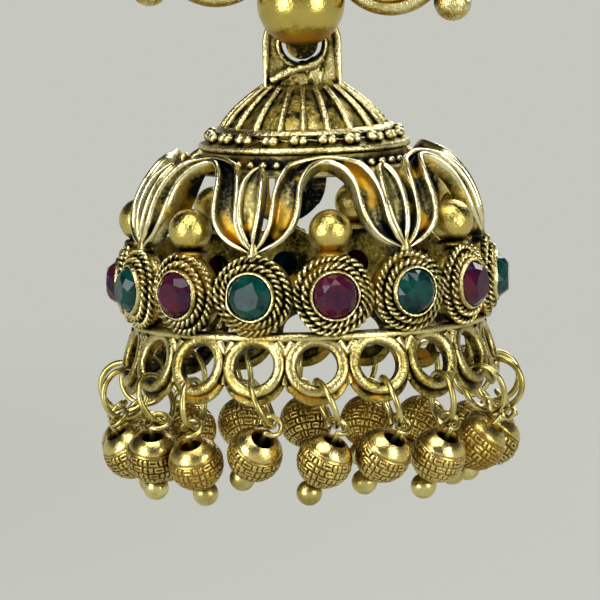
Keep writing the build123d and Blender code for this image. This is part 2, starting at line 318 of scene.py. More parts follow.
def settle(piece: bpy.types.Object, body: Body, slot: Slot, nodes: Iterable[str]) -> None:
    """Put a finished piece on its body and hide the frame's nodes it stands for.

    Args:
        piece: The finished piece.
        body: The body it rides on.
        slot: Not used.
        nodes: The frame's nodes it stands for.
    """
    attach(piece, body.value)
    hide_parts(*nodes)
    LOG.info("%s: %d faces on %s", piece.name, len(piece.data.polygons), body.value)


# --- finishes ---------------------------------------------------------------------


def linear(hex_colour: str) -> tuple[float, float, float, float]:
    """Turn an sRGB colour into linear light.

    Args:
        hex_colour: The colour as #RRGGBB.

    Returns:
        Red, green, blue and an alpha of 1.
    """
    values = [int(hex_colour[i:i + 2], 16) / 255 for i in (1, 3, 5)]
    red, green, blue = (v / 12.92 if v <= 0.04045 else ((v + 0.055) / 1.055) ** 2.4 for v in values)
    return red, green, blue, 1.0


def add_node(tree: bpy.types.NodeTree, kind: str, inputs: dict | None = None, **settings) -> bpy.types.Node:
    """Add one node, with its settings, its input values and its links.

    Args:
        tree: The node tree it goes in.
        kind: The node's type name.
        inputs: For each input's name or number, a value, or the output socket that feeds it.
        **settings: Properties of the node itself.

    Returns:
        The new node.
    """
    node = tree.nodes.new(kind)
    for name, value in settings.items():
        setattr(node, name, value)
    for name, value in (inputs or {}).items():
        if isinstance(value, bpy.types.NodeSocket):
            tree.links.new(value, node.inputs[name])
        else:
            node.inputs[name].default_value = value
    return node


def per_metre(size_mm: float) -> float:
    """Return the texture scale whose pattern repeats about once in size_mm."""
    return 1 / (size_mm * MM)


def new_material(name: str) -> tuple[bpy.types.Material, bpy.types.NodeTree]:
    """Start a material with no nodes.

    Args:
        name: The material's name.

    Returns:
        The material and its node tree.
    """
    material = bpy.data.materials.new(name)
    material.use_nodes = True
    material.node_tree.nodes.clear()
    return material, material.node_tree


@dataclass(frozen=True)
class OxidisedGold:
    """Gold-plated brass casting, dipped in a dark oxide and rubbed back by hand.

    The rubbed edges are pale and bright. Down the slopes the colour turns
    olive, and the bottoms of the recesses hold patches of blue-black oxide and
    of raw orange plating, with specks of gold where the cloth reached. The same
    colours also paint light: the dark ones as painted shade on back and inner
    faces, and the orange one as a painted reflection at the foot of the fan's ball.
    """

    name: str = "oxidised_gold_casting"
    rubbed: str = "#EEE2AA"
    worn: str = "#AE9A46"
    # orange for raw plating in recesses, and for the painted reflection at the foot of the fan's ball
    raw_and_reflected: str = "#AE7E24"
    oxide: str = "#14181C"
    stain_mm: float = 2.2
    patch_mm: float = 3.4
    # the real casting grain is near 0.05 mm, and is drawn coarser so that it shows
    grain_mm: float = 0.26
    cavity_mm: float = 0.9
    cavity_weight: float = 1.0
    recess_weight: float = 0.72
    stain_depth: float = 0.18
    roughness_bright: float = 0.2
    roughness_dark: float = 0.5
    bump: float = 0.2
    # the open share of the sky at which a cavity is full, and at which it is none
    cavity_sky: tuple[float, float] = (0.25, 0.95)
    # how deep the oxide sits where the gold starts to turn olive and is all olive
    rub_depth: tuple[float, float] = (0.1, 0.45)
    # how deep it sits where the recess colours start and where they cover
    sunk_depth: tuple[float, float] = (0.42, 0.78)
    # what the grain's troughs add to that depth, and what its peaks take off
    speck_depth: tuple[float, float] = (0.06, -0.15)

    def build(self) -> bpy.types.Material:
        """Lay the oxide by recess, cavity, stain and grain, and colour the metal by its depth.

        Returns:
            The finished material.
        """
        material, tree = new_material(self.name)
        place = add_node(tree, "ShaderNodeTexCoord").outputs["Object"]
        stain = add_node(tree, "ShaderNodeTexNoise", {
            "Vector": place, "Scale": per_metre(self.stain_mm), "Detail": 4.0, "Roughness": 0.6})
        patch = add_node(tree, "ShaderNodeTexNoise", {
            "Vector": place, "Scale": per_metre(self.patch_mm), "Detail": 3.0, "Distortion": 0.8})
        grain = add_node(tree, "ShaderNodeTexNoise", {
            "Vector": place, "Scale": per_metre(self.grain_mm), "Detail": 3.0, "Roughness": 0.6})
        # tarnish, together with the painted shade on back and inner faces
        recess = add_node(tree, "ShaderNodeAttribute", attribute_name="tarnish_and_shade")
        open_sky = add_node(tree, "ShaderNodeAmbientOcclusion", {"Distance": self.cavity_mm * MM},
                            samples=6)
        cavity = add_node(tree, "ShaderNodeMapRange", {
            "Value": open_sky.outputs["AO"], "From Min": self.cavity_sky[0], "From Max": self.cavity_sky[1],
            "To Min": self.cavity_weight, "To Max": 0.0})
        marked = add_node(tree, "ShaderNodeMath", {
            0: recess.outputs["Fac"], 1: self.recess_weight, 2: cavity.outputs["Result"]},
            operation="MULTIPLY_ADD")
        drift = add_node(tree, "ShaderNodeMapRange", {
            "Value": stain.outputs["Fac"], "From Min": 0.3, "From Max": 0.7,
            "To Min": -self.stain_depth, "To Max": self.stain_depth})
        specks = add_node(tree, "ShaderNodeMapRange", {
            "Value": grain.outputs["Fac"], "From Min": 0.42, "From Max": 0.66,
            "To Min": self.speck_depth[0], "To Max": self.speck_depth[1]})
        stained = add_node(tree, "ShaderNodeMath", {0: marked.outputs[0], 1: drift.outputs["Result"]})
        depth = add_node(tree, "ShaderNodeMath", {0: stained.outputs[0], 1: specks.outputs["Result"]},
                         use_clamp=True).outputs[0]
        rub = add_node(tree, "ShaderNodeMapRange", {
            "Value": depth, "From Min": self.rub_depth[0], "From Max": self.rub_depth[1]})
        ground = add_node(tree, "ShaderNodeMix", {
            "Factor": rub.outputs["Result"], "A": linear(self.rubbed), "B": linear(self.worn)},
            data_type="RGBA")
        kind = add_node(tree, "ShaderNodeMapRange", {
            "Value": patch.outputs["Fac"], "From Min": 0.54, "From Max": 0.61})
        # where orange shows: raw plating, and the painted reflection at the foot of the fan's ball
        bare_and_reflected = add_node(tree, "ShaderNodeAttribute", attribute_name="raw_and_reflected")
        orange = add_node(tree, "ShaderNodeMath", {0: kind.outputs["Result"], 1: bare_and_reflected.outputs["Fac"]},
                          use_clamp=True)
        hollow = add_node(tree, "ShaderNodeMix", {
            "Factor": orange.outputs[0], "A": linear(self.oxide), "B": linear(self.raw_and_reflected)},
            data_type="RGBA")
        sunk = add_node(tree, "ShaderNodeMapRange", {
            "Value": depth, "From Min": self.sunk_depth[0], "From Max": self.sunk_depth[1]})
        colour = add_node(tree, "ShaderNodeMix", {
            "Factor": sunk.outputs["Result"], "A": ground.outputs["Result"],
            "B": hollow.outputs["Result"]}, data_type="RGBA")
        sheen = add_node(tree, "ShaderNodeMapRange", {
            "Value": depth, "To Min": self.roughness_bright, "To Max": self.roughness_dark})
        relief = add_node(tree, "ShaderNodeBump", {
            "Height": grain.outputs["Fac"], "Strength": self.bump, "Distance": self.grain_mm * MM})
        metal = add_node(tree, "ShaderNodeBsdfPrincipled", {
            "Base Color": colour.outputs["Result"], "Roughness": sheen.outputs["Result"],
            "Metallic": 1.0, "Normal": relief.outputs["Normal"]})
        add_node(tree, "ShaderNodeOutputMaterial", {"Surface": metal.outputs["BSDF"]})
        return material


@dataclass(frozen=True)
class DrawnWireGold:
    """Drawn brass wire with a bright flash of gold.

    It stays brighter and greener than the casting, with fine lines left by
    the drawing die and only a little dirt.
    """

    name: str = "drawn_gold_wire"
    bright: str = "#E2D68E"
    dull: str = "#9A8A3E"
    stain_mm: float = 1.6
    # die lines are a few hundredths of a millimetre apart, and are drawn coarser
    line_mm: float = 0.12
    roughness: float = 0.2
    dirt_roughness: float = 0.16
    bump: float = 0.05

    def build(self) -> bpy.types.Material:
        """Stain the bright wire a little and lay the die lines on it.

        Returns:
            The finished material.
        """
        material, tree = new_material(self.name)
        place = add_node(tree, "ShaderNodeTexCoord").outputs["Object"]
        stain = add_node(tree, "ShaderNodeTexNoise", {
            "Vector": place, "Scale": per_metre(self.stain_mm), "Detail": 5.0})
        lines = add_node(tree, "ShaderNodeTexNoise", {
            "Vector": place, "Scale": per_metre(self.line_mm), "Detail": 2.0})
        share = add_node(tree, "ShaderNodeMapRange", {
            "Value": stain.outputs["Fac"], "From Min": 0.35, "From Max": 0.7})
        colour = add_node(tree, "ShaderNodeMix", {
            "Factor": share.outputs["Result"], "A": linear(self.bright), "B": linear(self.dull)},
            data_type="RGBA")
        sheen = add_node(tree, "ShaderNodeMapRange", {
            "Value": stain.outputs["Fac"], "To Min": self.roughness,
            "To Max": self.roughness + self.dirt_roughness})
        relief = add_node(tree, "ShaderNodeBump", {
            "Height": lines.outputs["Fac"], "Strength": self.bump, "Distance": self.line_mm * MM})
        metal = add_node(tree, "ShaderNodeBsdfPrincipled", {
            "Base Color": colour.outputs["Result"], "Roughness": sheen.outputs["Result"],
            "Metallic": 1.0, "Normal": relief.outputs["Normal"]})
        add_node(tree, "ShaderNodeOutputMaterial", {"Surface": metal.outputs["BSDF"]})
        return material


@dataclass(frozen=True)
class FacetedGlass:
    """Dark faceted glass with a foiled back, as cheap gem settings use.

    The facets mirror the light, and the body colour glows only where light
    comes back off the foil.
    """

    name: str
    body: str
    deep: str
    cloud_mm: float = 1.3
    roughness: float = 0.1
    ior: float = 1.52
    facet_gloss: float = 0.3
    clearness: float = 0.15

    def build(self) -> bpy.types.Material:
        """Cloud the glass between its body colour and its deep colour.

        Returns:
            The finished material.
        """
        material, tree = new_material(self.name)
        place = add_node(tree, "ShaderNodeTexCoord").outputs["Object"]
        cloud = add_node(tree, "ShaderNodeTexNoise", {
            "Vector": place, "Scale": per_metre(self.cloud_mm), "Detail": 2.0})
        share = add_node(tree, "ShaderNodeMapRange", {
            "Value": cloud.outputs["Fac"], "From Min": 0.35, "From Max": 0.65})
        colour = add_node(tree, "ShaderNodeMix", {
            "Factor": share.outputs["Result"], "A": linear(self.body), "B": linear(self.deep)},
            data_type="RGBA")
        glass = add_node(tree, "ShaderNodeBsdfPrincipled", {
            "Base Color": colour.outputs["Result"], "Roughness": self.roughness, "IOR": self.ior,
            "Specular IOR Level": self.facet_gloss, "Transmission Weight": self.clearness})
        add_node(tree, "ShaderNodeOutputMaterial", {"Surface": glass.outputs["BSDF"]})
        return material


@dataclass(frozen=True)
class StudioPaper:
    """Matt pale paper under the earring, which fades into the pale room at its edge."""

    name: str = "studio_paper"
    colour: str = "#C6C7BE"
    fibre_mm: float = 1.5
    fibre_height_mm: float = 0.1
    fade_from_mm: float = 170.0
    fade_to_mm: float = 380.0

    def build(self) -> bpy.types.Material:
        """Raise the paper's fibres and fade the sheet out from its middle.

        Returns:
            The finished material.
        """
        material, tree = new_material(self.name)
        place = add_node(tree, "ShaderNodeTexCoord").outputs["Object"]
        fibre = add_node(tree, "ShaderNodeTexNoise", {"Vector": place, "Scale": per_metre(self.fibre_mm)})
        relief = add_node(tree, "ShaderNodeBump", {
            "Height": fibre.outputs["Fac"], "Strength": 0.05, "Distance": self.fibre_height_mm * MM})
        paper = add_node(tree, "ShaderNodeBsdfPrincipled", {
            "Base Color": linear(self.colour), "Roughness": 0.9, "Normal": relief.outputs["Normal"]})
        reach = add_node(tree, "ShaderNodeVectorMath", {0: place}, operation="LENGTH")
        fade = add_node(tree, "ShaderNodeMapRange", {
            "Value": reach.outputs["Value"], "From Min": self.fade_from_mm * MM,
            "From Max": self.fade_to_mm * MM}, interpolation_type="SMOOTHSTEP")
        nothing = add_node(tree, "ShaderNodeBsdfTransparent")
        sheet = add_node(tree, "ShaderNodeMixShader", {
            0: fade.outputs["Result"], 1: paper.outputs["BSDF"], 2: nothing.outputs["BSDF"]})
        add_node(tree, "ShaderNodeOutputMaterial", {"Surface": sheet.outputs["Shader"]})
        return material


@dataclass(frozen=True)
class PaleRoom:
    """A pale room with a dark ceiling, which the metal mirrors, and a dim even light from it."""

    wall: str = "#C6C7BE"
    ceiling: str = "#2C2D29"
    light: float = 0.2
    # how high the walls reach, as the upward part of the direction one looks in
    wall_top: float = 0.06
    ceiling_from: float = 0.4

    def build(self) -> bpy.types.World:
        """Show the room to eyes, metal and glass, and light everything else dimly.

        Returns:
            The finished world.
        """
        world = bpy.data.worlds.new("pale_room")
        world.use_nodes = True
        tree = world.node_tree
        tree.nodes.clear()
        look = add_node(tree, "ShaderNodeTexCoord").outputs["Generated"]
        up = add_node(tree, "ShaderNodeSeparateXYZ", {0: look})
        height = add_node(tree, "ShaderNodeMapRange", {
            "Value": up.outputs["Z"], "From Min": self.wall_top, "From Max": self.ceiling_from},
            interpolation_type="SMOOTHSTEP")
        seen = add_node(tree, "ShaderNodeMix", {
            "Factor": height.outputs["Result"], "A": linear(self.wall), "B": linear(self.ceiling)},
            data_type="RGBA")
        path = add_node(tree, "ShaderNodeLightPath")
        shiny = add_node(tree, "ShaderNodeMath", {
            0: path.outputs["Is Camera Ray"], 1: path.outputs["Is Glossy Ray"]}, operation="MAXIMUM")
        direct = add_node(tree, "ShaderNodeMath", {
            0: shiny.outputs[0], 1: path.outputs["Is Transmission Ray"]}, operation="MAXIMUM")
        room = add_node(tree, "ShaderNodeBackground", {"Color": seen.outputs["Result"], "Strength": 1.0})
        dim = add_node(tree, "ShaderNodeBackground", {"Color": linear(self.wall), "Strength": self.light})
        both = add_node(tree, "ShaderNodeMixShader", {
            0: direct.outputs[0], 1: dim.outputs["Background"], 2: room.outputs["Background"]})
        add_node(tree, "ShaderNodeOutputWorld", {"Surface": both.outputs["Shader"]})
        return world


class CastFinish(Enum):
    """How the oxidised gold is rubbed on each part of the earring."""

    # brown-black hollows, and a shine broken up by strong grain and stains
    SATIN = OxidisedGold(name="oxidised_gold_satin", oxide="#1C180C", roughness_bright=0.17, bump=0.45,
                         stain_depth=0.24)
    # a smooth ball that mirrors the lamps clearly; its deeper gold is a painted reflection, darkened to
    # stand in for the dark surroundings such a ball mirrors
    POLISHED = OxidisedGold(name="oxidised_gold_polished", rubbed="#C8B45E", worn="#9A8638",
                            roughness_bright=0.13, bump=0.15)
    # olive panels with small blue-black patches between brighter ribs
    DOME = OxidisedGold(name="oxidised_gold_dome", raw_and_reflected="#A08E44", stain_mm=1.0, patch_mm=1.3,
                        stain_depth=0.34, roughness_bright=0.17, bump=0.45)
    # the palest rims on the bell, with orange and black in the flutes between them
    PETALS = OxidisedGold(name="oxidised_gold_petals", rubbed="#F5EBBC", worn="#C8B970", raw_and_reflected="#B4881C",
                          cavity_weight=0.85, recess_weight=0.64, roughness_bright=0.18, bump=0.15)
    # balls of a plain mid gold, darkened as a painted reflection of dark surroundings
    BALLS = OxidisedGold(name="oxidised_gold_balls", rubbed="#D2BE6A", worn="#9A8638", bump=0.3)
    # bright strands with a thin dark crease between them
    TWIST = OxidisedGold(name="oxidised_gold_twist", raw_and_reflected="#9C8238", cavity_weight=0.6, recess_weight=0.62,
                         bump=0.12)
    # loops whose faces are stained unevenly, with brown-black holes
    LOOPS = OxidisedGold(name="oxidised_gold_loops", rubbed="#DFD090", worn="#9C8A3E", oxide="#1C180C",
                         roughness_bright=0.17, bump=0.3, stain_depth=0.24)
    # beads whose cut marks stay brown and orange while the faces between shine
    BEADS = OxidisedGold(name="oxidised_gold_beads", rubbed="#E2CC80", worn="#9E8436", raw_and_reflected="#9A701C",
                         oxide="#1E1808", recess_weight=0.8, bump=0.12)


# --- the bell -----------------------------------------------------------------------


@dataclass(frozen=True)
class BellFrame:
    """Where the bell's axis and its row of stones are, read from the frame."""

    axis_y: float
    stone_z: float
    stone_count: int = 14
    stone_turn: float = 8.0
    loop_count: int = 18
    loop_turn: float = 2.1

    @classmethod
    def read(cls) -> "BellFrame":
        """Read the axis from the swing joint and the height from the stones.

        Returns:
            The bell's place, in millimetres.
        """
        low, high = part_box("ruby_stones")
        swing = frame["joints"][0]["pos_m"]
        return cls(axis_y=swing[1] / MM, stone_z=(low.z + high.z) / 2 / MM)

    def centre(self) -> Vector:
        """Return the middle of the row of stones, on the bell's axis."""
        return Vector((0, self.axis_y, self.stone_z))

    def at(self, turn: float) -> Matrix:
        """Return where a shape built at the bell's front goes, turned by some degrees."""
        return moved(0, self.axis_y, self.stone_z) @ turned(turn)

    def outward(self, turn: float) -> Matrix:
        """Return the place whose local Z runs outward from the bell's axis."""
        return self.at(turn) @ turned(90, "X")

    def stone_turns(self) -> list[float]:
        """Return the turns of all stones, rubies and greens in order."""
        return [self.stone_turn + i * 360 / self.stone_count for i in range(self.stone_count)]

    def window_turns(self) -> list[float]:
        """Return the turns of the arch windows, each over a ruby."""
        return self.stone_turns()[::2]

    def petal_turns(self) -> list[float]:
        """Return the turns of the petals, each over a green stone."""
        return self.stone_turns()[1::2]

    def loop_turns(self) -> list[float]:
        """Return the turns of the loops in the skirt."""
        return [self.loop_turn + i * 360 / self.loop_count for i in range(self.loop_count)]


@dataclass(frozen=True)
class WallCurve:
    """The bell's outer wall, as a climb along its outline from the foot up."""

    radius: float = 13.0
    foot_z: float = 2.5
    turn_z: float = 4.6
    middle: tuple[float, float] = (11.65, 8.0)
    crest: tuple[float, float] = (9.0, 10.15)

    def centre(self) -> tuple[float, float]:
        """Find the centre of the arc that the wall follows above its upright part.

        Returns:
            The radius and height of the centre of the circle through the turn, middle and crest.
        """
        (ax, az), (bx, bz), (cx, cz) = (self.radius, self.turn_z), self.middle, self.crest
        size = 2 * (ax * (bz - cz) + bx * (cz - az) + cx * (az - bz))
        a, b, c = ax * ax + az * az, bx * bx + bz * bz, cx * cx + cz * cz
        return ((a * (bz - cz) + b * (cz - az) + c * (az - bz)) / size,
                (a * (cx - bx) + b * (ax - cx) + c * (bx - ax)) / size)

    def point(self, climb: float, turn: float, lift: float) -> Vector:
        """Find a point on or off the wall.

        Args:
            climb: Millimetres along the outline, from the wall's foot.
            turn: Degrees from the front.
            lift: Millimetres outward from the wall.

        Returns:
            The point, about the bell's axis.
        """
        upright = self.turn_z - self.foot_z
        if climb <= upright:
            reach, height = self.radius + lift, self.foot_z + climb
        else:
            cx, cz = self.centre()
            arc_radius = math.hypot(self.radius - cx, self.turn_z - cz)
            start = math.atan2(self.turn_z - cz, self.radius - cx)
            angle = start + (climb - upright) / arc_radius
            reach = cx + (arc_radius + lift) * math.cos(angle)
            height = cz + (arc_radius + lift) * math.sin(angle)
        a = math.radians(turn)
        return Vector((reach * math.sin(a), -reach * math.cos(a), height))


@dataclass(frozen=True)
class Ribbon:
    """A fluted strip that follows the wall between two edges, with a raised rim on each."""

    left: Edge
    right: Edge
    steps: int
    rim_width: float = 0.43
    # a rim takes no more than this share of a narrow strip
    rim_share: float = 0.42
    rim_height: float = 0.36
    flute: float = -0.55
    # the flute is full from this width of the strip up
    full_flute_width: float = 1.4
    # the rim's height grows with the strip's width, by its full size over this width
    rim_growth_width: float = 1.6
    thickness: float = 0.9
    least_width: float = 0.2
    crest_climb: float = 7.2
    crest_share: float = 0.45
    crest_thinning: float = 0.4
    floor_tarnish: float = 1.1

    def columns(self, width: float) -> Profile:
        """Draw the strip's section.

        Args:
            width: The strip's width where the section is.

        Returns:
            The section as (share of the width, lift, tarnish), left to right.
        """
        rim = min(self.rim_width, self.rim_share * width) / width
        top = self.rim_height * min(1.0, 0.35 + width / self.rim_growth_width)
        floor = self.flute * min(1.0, width / self.full_flute_width)
        # the back corner's value of 1.3 is painted shade on the strip's unlit back
        half = [
            (0.0, -self.thickness, 1.3), (0.0, -0.12, 0.4), (0.07 * rim, 0.55 * top, 0.0),
            (0.25 * rim, 0.92 * top, 0.0), (0.5 * rim, top, 0.0), (0.75 * rim, 0.9 * top, 0.0),
            (0.92 * rim, 0.5 * top, 0.1), (rim, 0.0, 0.9),
            (rim + 0.1 * (0.5 - rim), 0.7 * floor, self.floor_tarnish),
            (rim + 0.45 * (0.5 - rim), floor, self.floor_tarnish),
        ]
        mirrored = [(1 - share, lift, dark) for share, lift, dark in reversed(half)]
        return half + [(0.5, 0.92 * floor, 0.9 * self.floor_tarnish)] + mirrored

    def fullness(self, climb: float) -> float:
        """Return how much of its full section the strip has at a climb: it thins at the crest."""
        over = max(0.0, climb - self.crest_climb)
        return max(self.crest_share, 1.0 - self.crest_thinning * over)

    def add_to(self, casting: Casting, wall: WallCurve, place: Matrix) -> None:
        """Add the strip to a casting.

        Args:
            casting: The casting it is added to.
            wall: The wall it follows.
            place: Where the wall goes.
        """
        rows = []
        for a, b in zip(smooth_path(self.left, self.steps), smooth_path(self.right, self.steps)):
            width = (wall.point(*a, 0) - wall.point(*b, 0)).length
            row = []
            for share, lift, _ in self.columns(max(width, self.least_width)):
                climb = a[0] + share * (b[0] - a[0])
                turn = a[1] + share * (b[1] - a[1])
                row.append(wall.point(climb, turn, lift * self.fullness(climb)))
            rows.append(row)
        casting.lattice(rows, place, tarnish_and_shade=[dark for _, _, dark in self.columns(self.full_flute_width)])


# Edges on the wall, as (climb in mm, degrees from the middle of the petal or window).
# The arch runs from one petal's tip up, over the window and down to the next tip.
ARCH_WINDOW_EDGE = ((0.55, -24.9), (1.1, -18.4), (2.0, -13.5), (3.1, -10.9), (4.3, -9.8),
                    (5.8, -8.9), (7.1, -5.6), (7.8, 0.0))
ARCH_PETAL_EDGE = ((0.75, -25.4), (1.9, -22.6), (2.9, -20.8), (4.2, -20.1), (5.4, -19.5),
                   (6.8, -17.6), (7.9, -13.6), (8.75, 0.0))
LEAF_LEFT_EDGE = ((0.95, -0.6), (1.7, -3.2), (2.8, -5.3), (4.0, -6.3), (5.2, -6.5), (6.3, -6.0),
                  (7.2, -4.4), (7.5, -2.0))
LEAF_RIGHT_EDGE = ((0.95, 0.2), (1.7, 1.1), (2.8, 2.1), (4.0, 2.7), (5.2, 2.8), (6.3, 2.5),
                   (7.2, 1.6), (7.5, 0.4))


@dataclass
class BellWall:
    """The seven petals, the arches between them, the roof and the collar."""

    bell: BellFrame
    finish: bpy.types.Material
    wall: WallCurve = field(default_factory=WallCurve)
    arch_steps: int = 84
    leaf_steps: int = 30
    collar_radius: float = 7.7
    mouth_radius: float = 5.72
    roof_top: float = 9.84
    ledge_z: float = 8.75
    ledge_radius: float = 9.2
    bead_count: int = 48
    bead_radius: float = 0.33
    # how far the small beads stand out from the collar, and up from the ledge
    bead_offset: float = 0.38
    neck_reach: float = 12.95
    # the neck's heights, and its radius at each
    neck: tuple[tuple[float, float], ...] = ((3.8, 0.3), (3.4, 0.42), (3.0, 0.56), (2.6, 0.7))
    casting: Casting = field(default_factory=Casting)

    def arch(self) -> Ribbon:
        """Lay out the strip that runs over a window from tip to tip.

        Returns:
            The strip, alike on both sides of the window's middle.
        """
        window, petal = (edge + tuple((climb, -turn) for climb, turn in reversed(edge[:-1]))
                         for edge in (ARCH_WINDOW_EDGE, ARCH_PETAL_EDGE))
        return Ribbon(window, petal, self.arch_steps)

    def leaf(self) -> Ribbon:
        """Return the leaf in the middle of a petal."""
        return Ribbon(LEAF_LEFT_EDGE, LEAF_RIGHT_EDGE, self.leaf_steps, flute=-0.35, crest_climb=5.8,
                      crest_share=0.25, floor_tarnish=0.75)

    def roof(self) -> None:
        """Add the roof ring, the dark collar under the crown and the ledge round it."""
        mouth, collar, ledge = self.mouth_radius, self.collar_radius, self.ledge_radius
        inside = self.ledge_z - 0.35
        self.casting.spun([
            (mouth, self.roof_top, 0.6), (mouth, 9.1, 0.9), (6.6, inside, 0.9),
            (ledge - 0.3, inside - 0.1, 0.9), (ledge, self.ledge_z - 0.25, 0.4), (ledge, self.ledge_z, 0.1),
            (8.5, self.ledge_z + 0.12, 0.5), (collar + 0.15, self.ledge_z + 0.1, 1.0), (collar, 8.95, 1.0),
            (collar - 0.05, 9.5, 1.0), (collar, self.roof_top, 0.6),
        ], self.bell.at(0))

    def beading(self) -> None:
        """Add the row of small beads at the collar's foot."""
        at = Vector((0, -(self.collar_radius + self.bead_offset), self.ledge_z + self.bead_offset))
        for i in range(self.bead_count):
            place = self.bell.at(i * 360 / self.bead_count)
            self.casting.globe(at, self.bead_radius, place, steps=10, tarnish_and_shade=0.1)

    def necks(self) -> None:
        """Add the short necks that join the petals' tips to the settings."""
        path = [Vector((0, -self.neck_reach, height)) for height, _ in self.neck]
        radii = [radius for _, radius in self.neck]
        for turn in self.bell.petal_turns():
            self.casting.tube(path, radii, Y_AXIS, self.bell.at(turn), 12, tarnish_and_shade=0.55)

    def build(self) -> None:
        """Build the petals and the roof as one piece."""
        for turn in self.bell.window_turns():
            self.arch().add_to(self.casting, self.wall, self.bell.at(turn))
        for turn in self.bell.petal_turns():
            self.leaf().add_to(self.casting, self.wall, self.bell.at(turn))
        self.roof()
        self.beading()
        self.necks()
        settle(self.casting.make("bell_petals", self.finish), Body.BELL, Slot.ANTIQUE, ["bell"])


@dataclass
class Balls:
    """The seven balls that stand in the windows, each on a short foot."""

    bell: BellFrame
    finish: bpy.types.Material
    radius: float = 1.6
    reach: float = 12.5
    height: float = 4.65
    steps: int = 48
    # the height over the ball's centre below which the ball and its foot are coloured darker
    dark_below: float = -0.9
    casting: Casting = field(default_factory=Casting)

    def profile(self) -> Profile:
        """Draw half the ball's outline with its foot, closed on the axis.

        Returns:
            The outline, about the ball's centre.
        """
        arc = [math.radians(a) for a in range(88, -61, -6)]
        ball = [(self.radius * math.cos(a), self.radius * math.sin(a)) for a in arc]
        foot = [(0.78, -1.42), (1.12, -1.5), (1.26, -1.7), (1.15, -1.95), (0.8, -2.05), (CORE, -2.05)]
        return [(r, z, 0.0 if z > self.dark_below else 0.5) for r, z in ball + foot]

    def build(self) -> None:
        """Build all balls as one piece."""
        for turn in self.bell.window_turns():
            place = self.bell.at(turn) @ moved(0, -self.reach, self.height)
            self.casting.spun(self.profile(), place, self.steps)
        settle(self.casting.make("bell_balls", self.finish), Body.BELL, Slot.ANTIQUE, ["bell"])


@dataclass
class Settings:
    """Fourteen stone settings: a bezel and two rings of twisted wire on an open-backed cup.

    Heights in their sections are distances from the bell's axis.
    """

    bell: BellFrame
    finish: bpy.types.Material
    twist_finish: bpy.types.Material
    seed: int = 5
    # each ring of twisted wire as radius, height and number of twists
    rope_rings: tuple[tuple[float, float, int], ...] = ((2.19, 13.84, 13), (2.77, 13.44, 16))
    strand: float = 0.175
    strand_offset: float = 0.135
    strand_points: int = 12
    steps_per_twist: int = 12
    # how far the twist strays, in radians, and the ring's radius, in mm
    sway: float = 0.35
    wander: float = 0.05
    cup_steps: int = 64
    bezel_steps: int = 72
    bezel_unevenness: float = 0.035

    def strands(self) -> Profile:
        """Draw the outline of two round wires side by side.

        Returns:
            The outline as (reach from the middle, angle in radians, tarnish).
        """
        outline = []
        for around in round_angles(self.strand_points):
            aside = self.strand_offset * math.sin(around)
            reach = self.strand_offset * abs(math.cos(around)) + math.sqrt(self.strand ** 2 - aside ** 2)
            outline.append((reach, around, abs(math.sin(around)) ** 3))
        return outline

    def rope(self, mean: float, height: float, twists: int,
             rng: random.Random) -> Callable[[float], Profile]:
        """Shape a ring of two strands twisted together, a little unevenly.

        The points of a section turn with the strands, so the crease between
        them stays on the same points all the way round.

        Args:
            mean: Radius of the ring's centre line.
            height: How far out the ring's centre line is.
            twists: Full twists in the whole ring.
            rng: The source of the unevenness.

        Returns:
            A function that gives the ring's section at an angle in radians.
        """
        starts = [rng.uniform(0, 2 * math.pi) for _ in range(3)]
        strands = self.strands()

        def section(angle: float) -> Profile:
            """Draw the two strands where they are at one angle.

            Args:
                angle: The angle round the ring, in radians.

            Returns:
                The section.
            """
            lag = self.sway * math.sin(3 * angle + starts[0]) + self.sway * math.sin(5 * angle + starts[1])
            ring = mean + self.wander * math.sin(4 * angle + starts[2])
            points = []
            for reach, around, dark in strands:
                turn = around + twists * angle + lag
                points.append((ring + reach * math.cos(turn), height + reach * math.sin(turn), dark))
            return points
        return section

    def bezel(self, rng: random.Random) -> Callable[[float], Profile]:
        """Shape the thin collar pressed over a stone, a little uneven.

        Args:
            rng: The source of the unevenness.

        Returns:
            A function that gives the collar's section at an angle in radians.
        """
        waves = [(rng.uniform(0.0, self.bezel_unevenness), rng.randint(2, 6), rng.uniform(0, 6.3))
                 for _ in range(3)]

        def section(angle: float) -> Profile:
            """Draw the collar as it is at one angle.

            Args:
                angle: The angle round the stone, in radians.

            Returns:
                The section.
            """
            uneven = sum(size * math.cos(count * angle + start) for size, count, start in waves)
            return [(1.66, 12.6, 0.5), (1.95, 12.6, 0.5), (1.93, 13.9, 0.4),
                    (1.9 + uneven / 2, 14.2 + uneven, 0.0), (1.83 + uneven / 2, 14.36 + uneven, 0.0),
                    (1.73, 14.36 + uneven, 0.0), (1.67, 14.26 + uneven, 0.1), (1.66, 13.7, 0.5)]
        return section

    @staticmethod
    def cup() -> Profile:
        """Return the section of the open-backed cup that carries the ropes."""
        return [(1.0, 12.25, 0.9), (2.5, 12.2, 0.8), (2.86, 12.45, 0.5), (2.92, 13.0, 0.6),
                (2.8, 13.3, 1.0), (1.6, 13.45, 1.0), (1.6, 13.1, 1.0), (1.0, 12.9, 1.0)]

    def build(self) -> None:
        """Build the cups with their bezels, and the twisted borders, as two pieces."""
        rng = random.Random(self.seed)
        cups, ropes = Casting(), Casting()
        for turn in self.bell.stone_turns():
            place = self.bell.outward(turn)
            cups.spun(self.cup(), place, self.cup_steps)
            cups.lathed(self.bezel(rng), round_angles(self.bezel_steps), place)
            for mean, height, twists in self.rope_rings:
                rope = self.rope(mean, height, twists, rng)
                ropes.lathed(rope, round_angles(twists * self.steps_per_twist), place)
        settle(cups.make("stone_cups", self.finish), Body.BELL, Slot.ANTIQUE, ["bell"])
        settle(ropes.make("twisted_borders", self.twist_finish), Body.BELL, Slot.ANTIQUE, ["bell"])


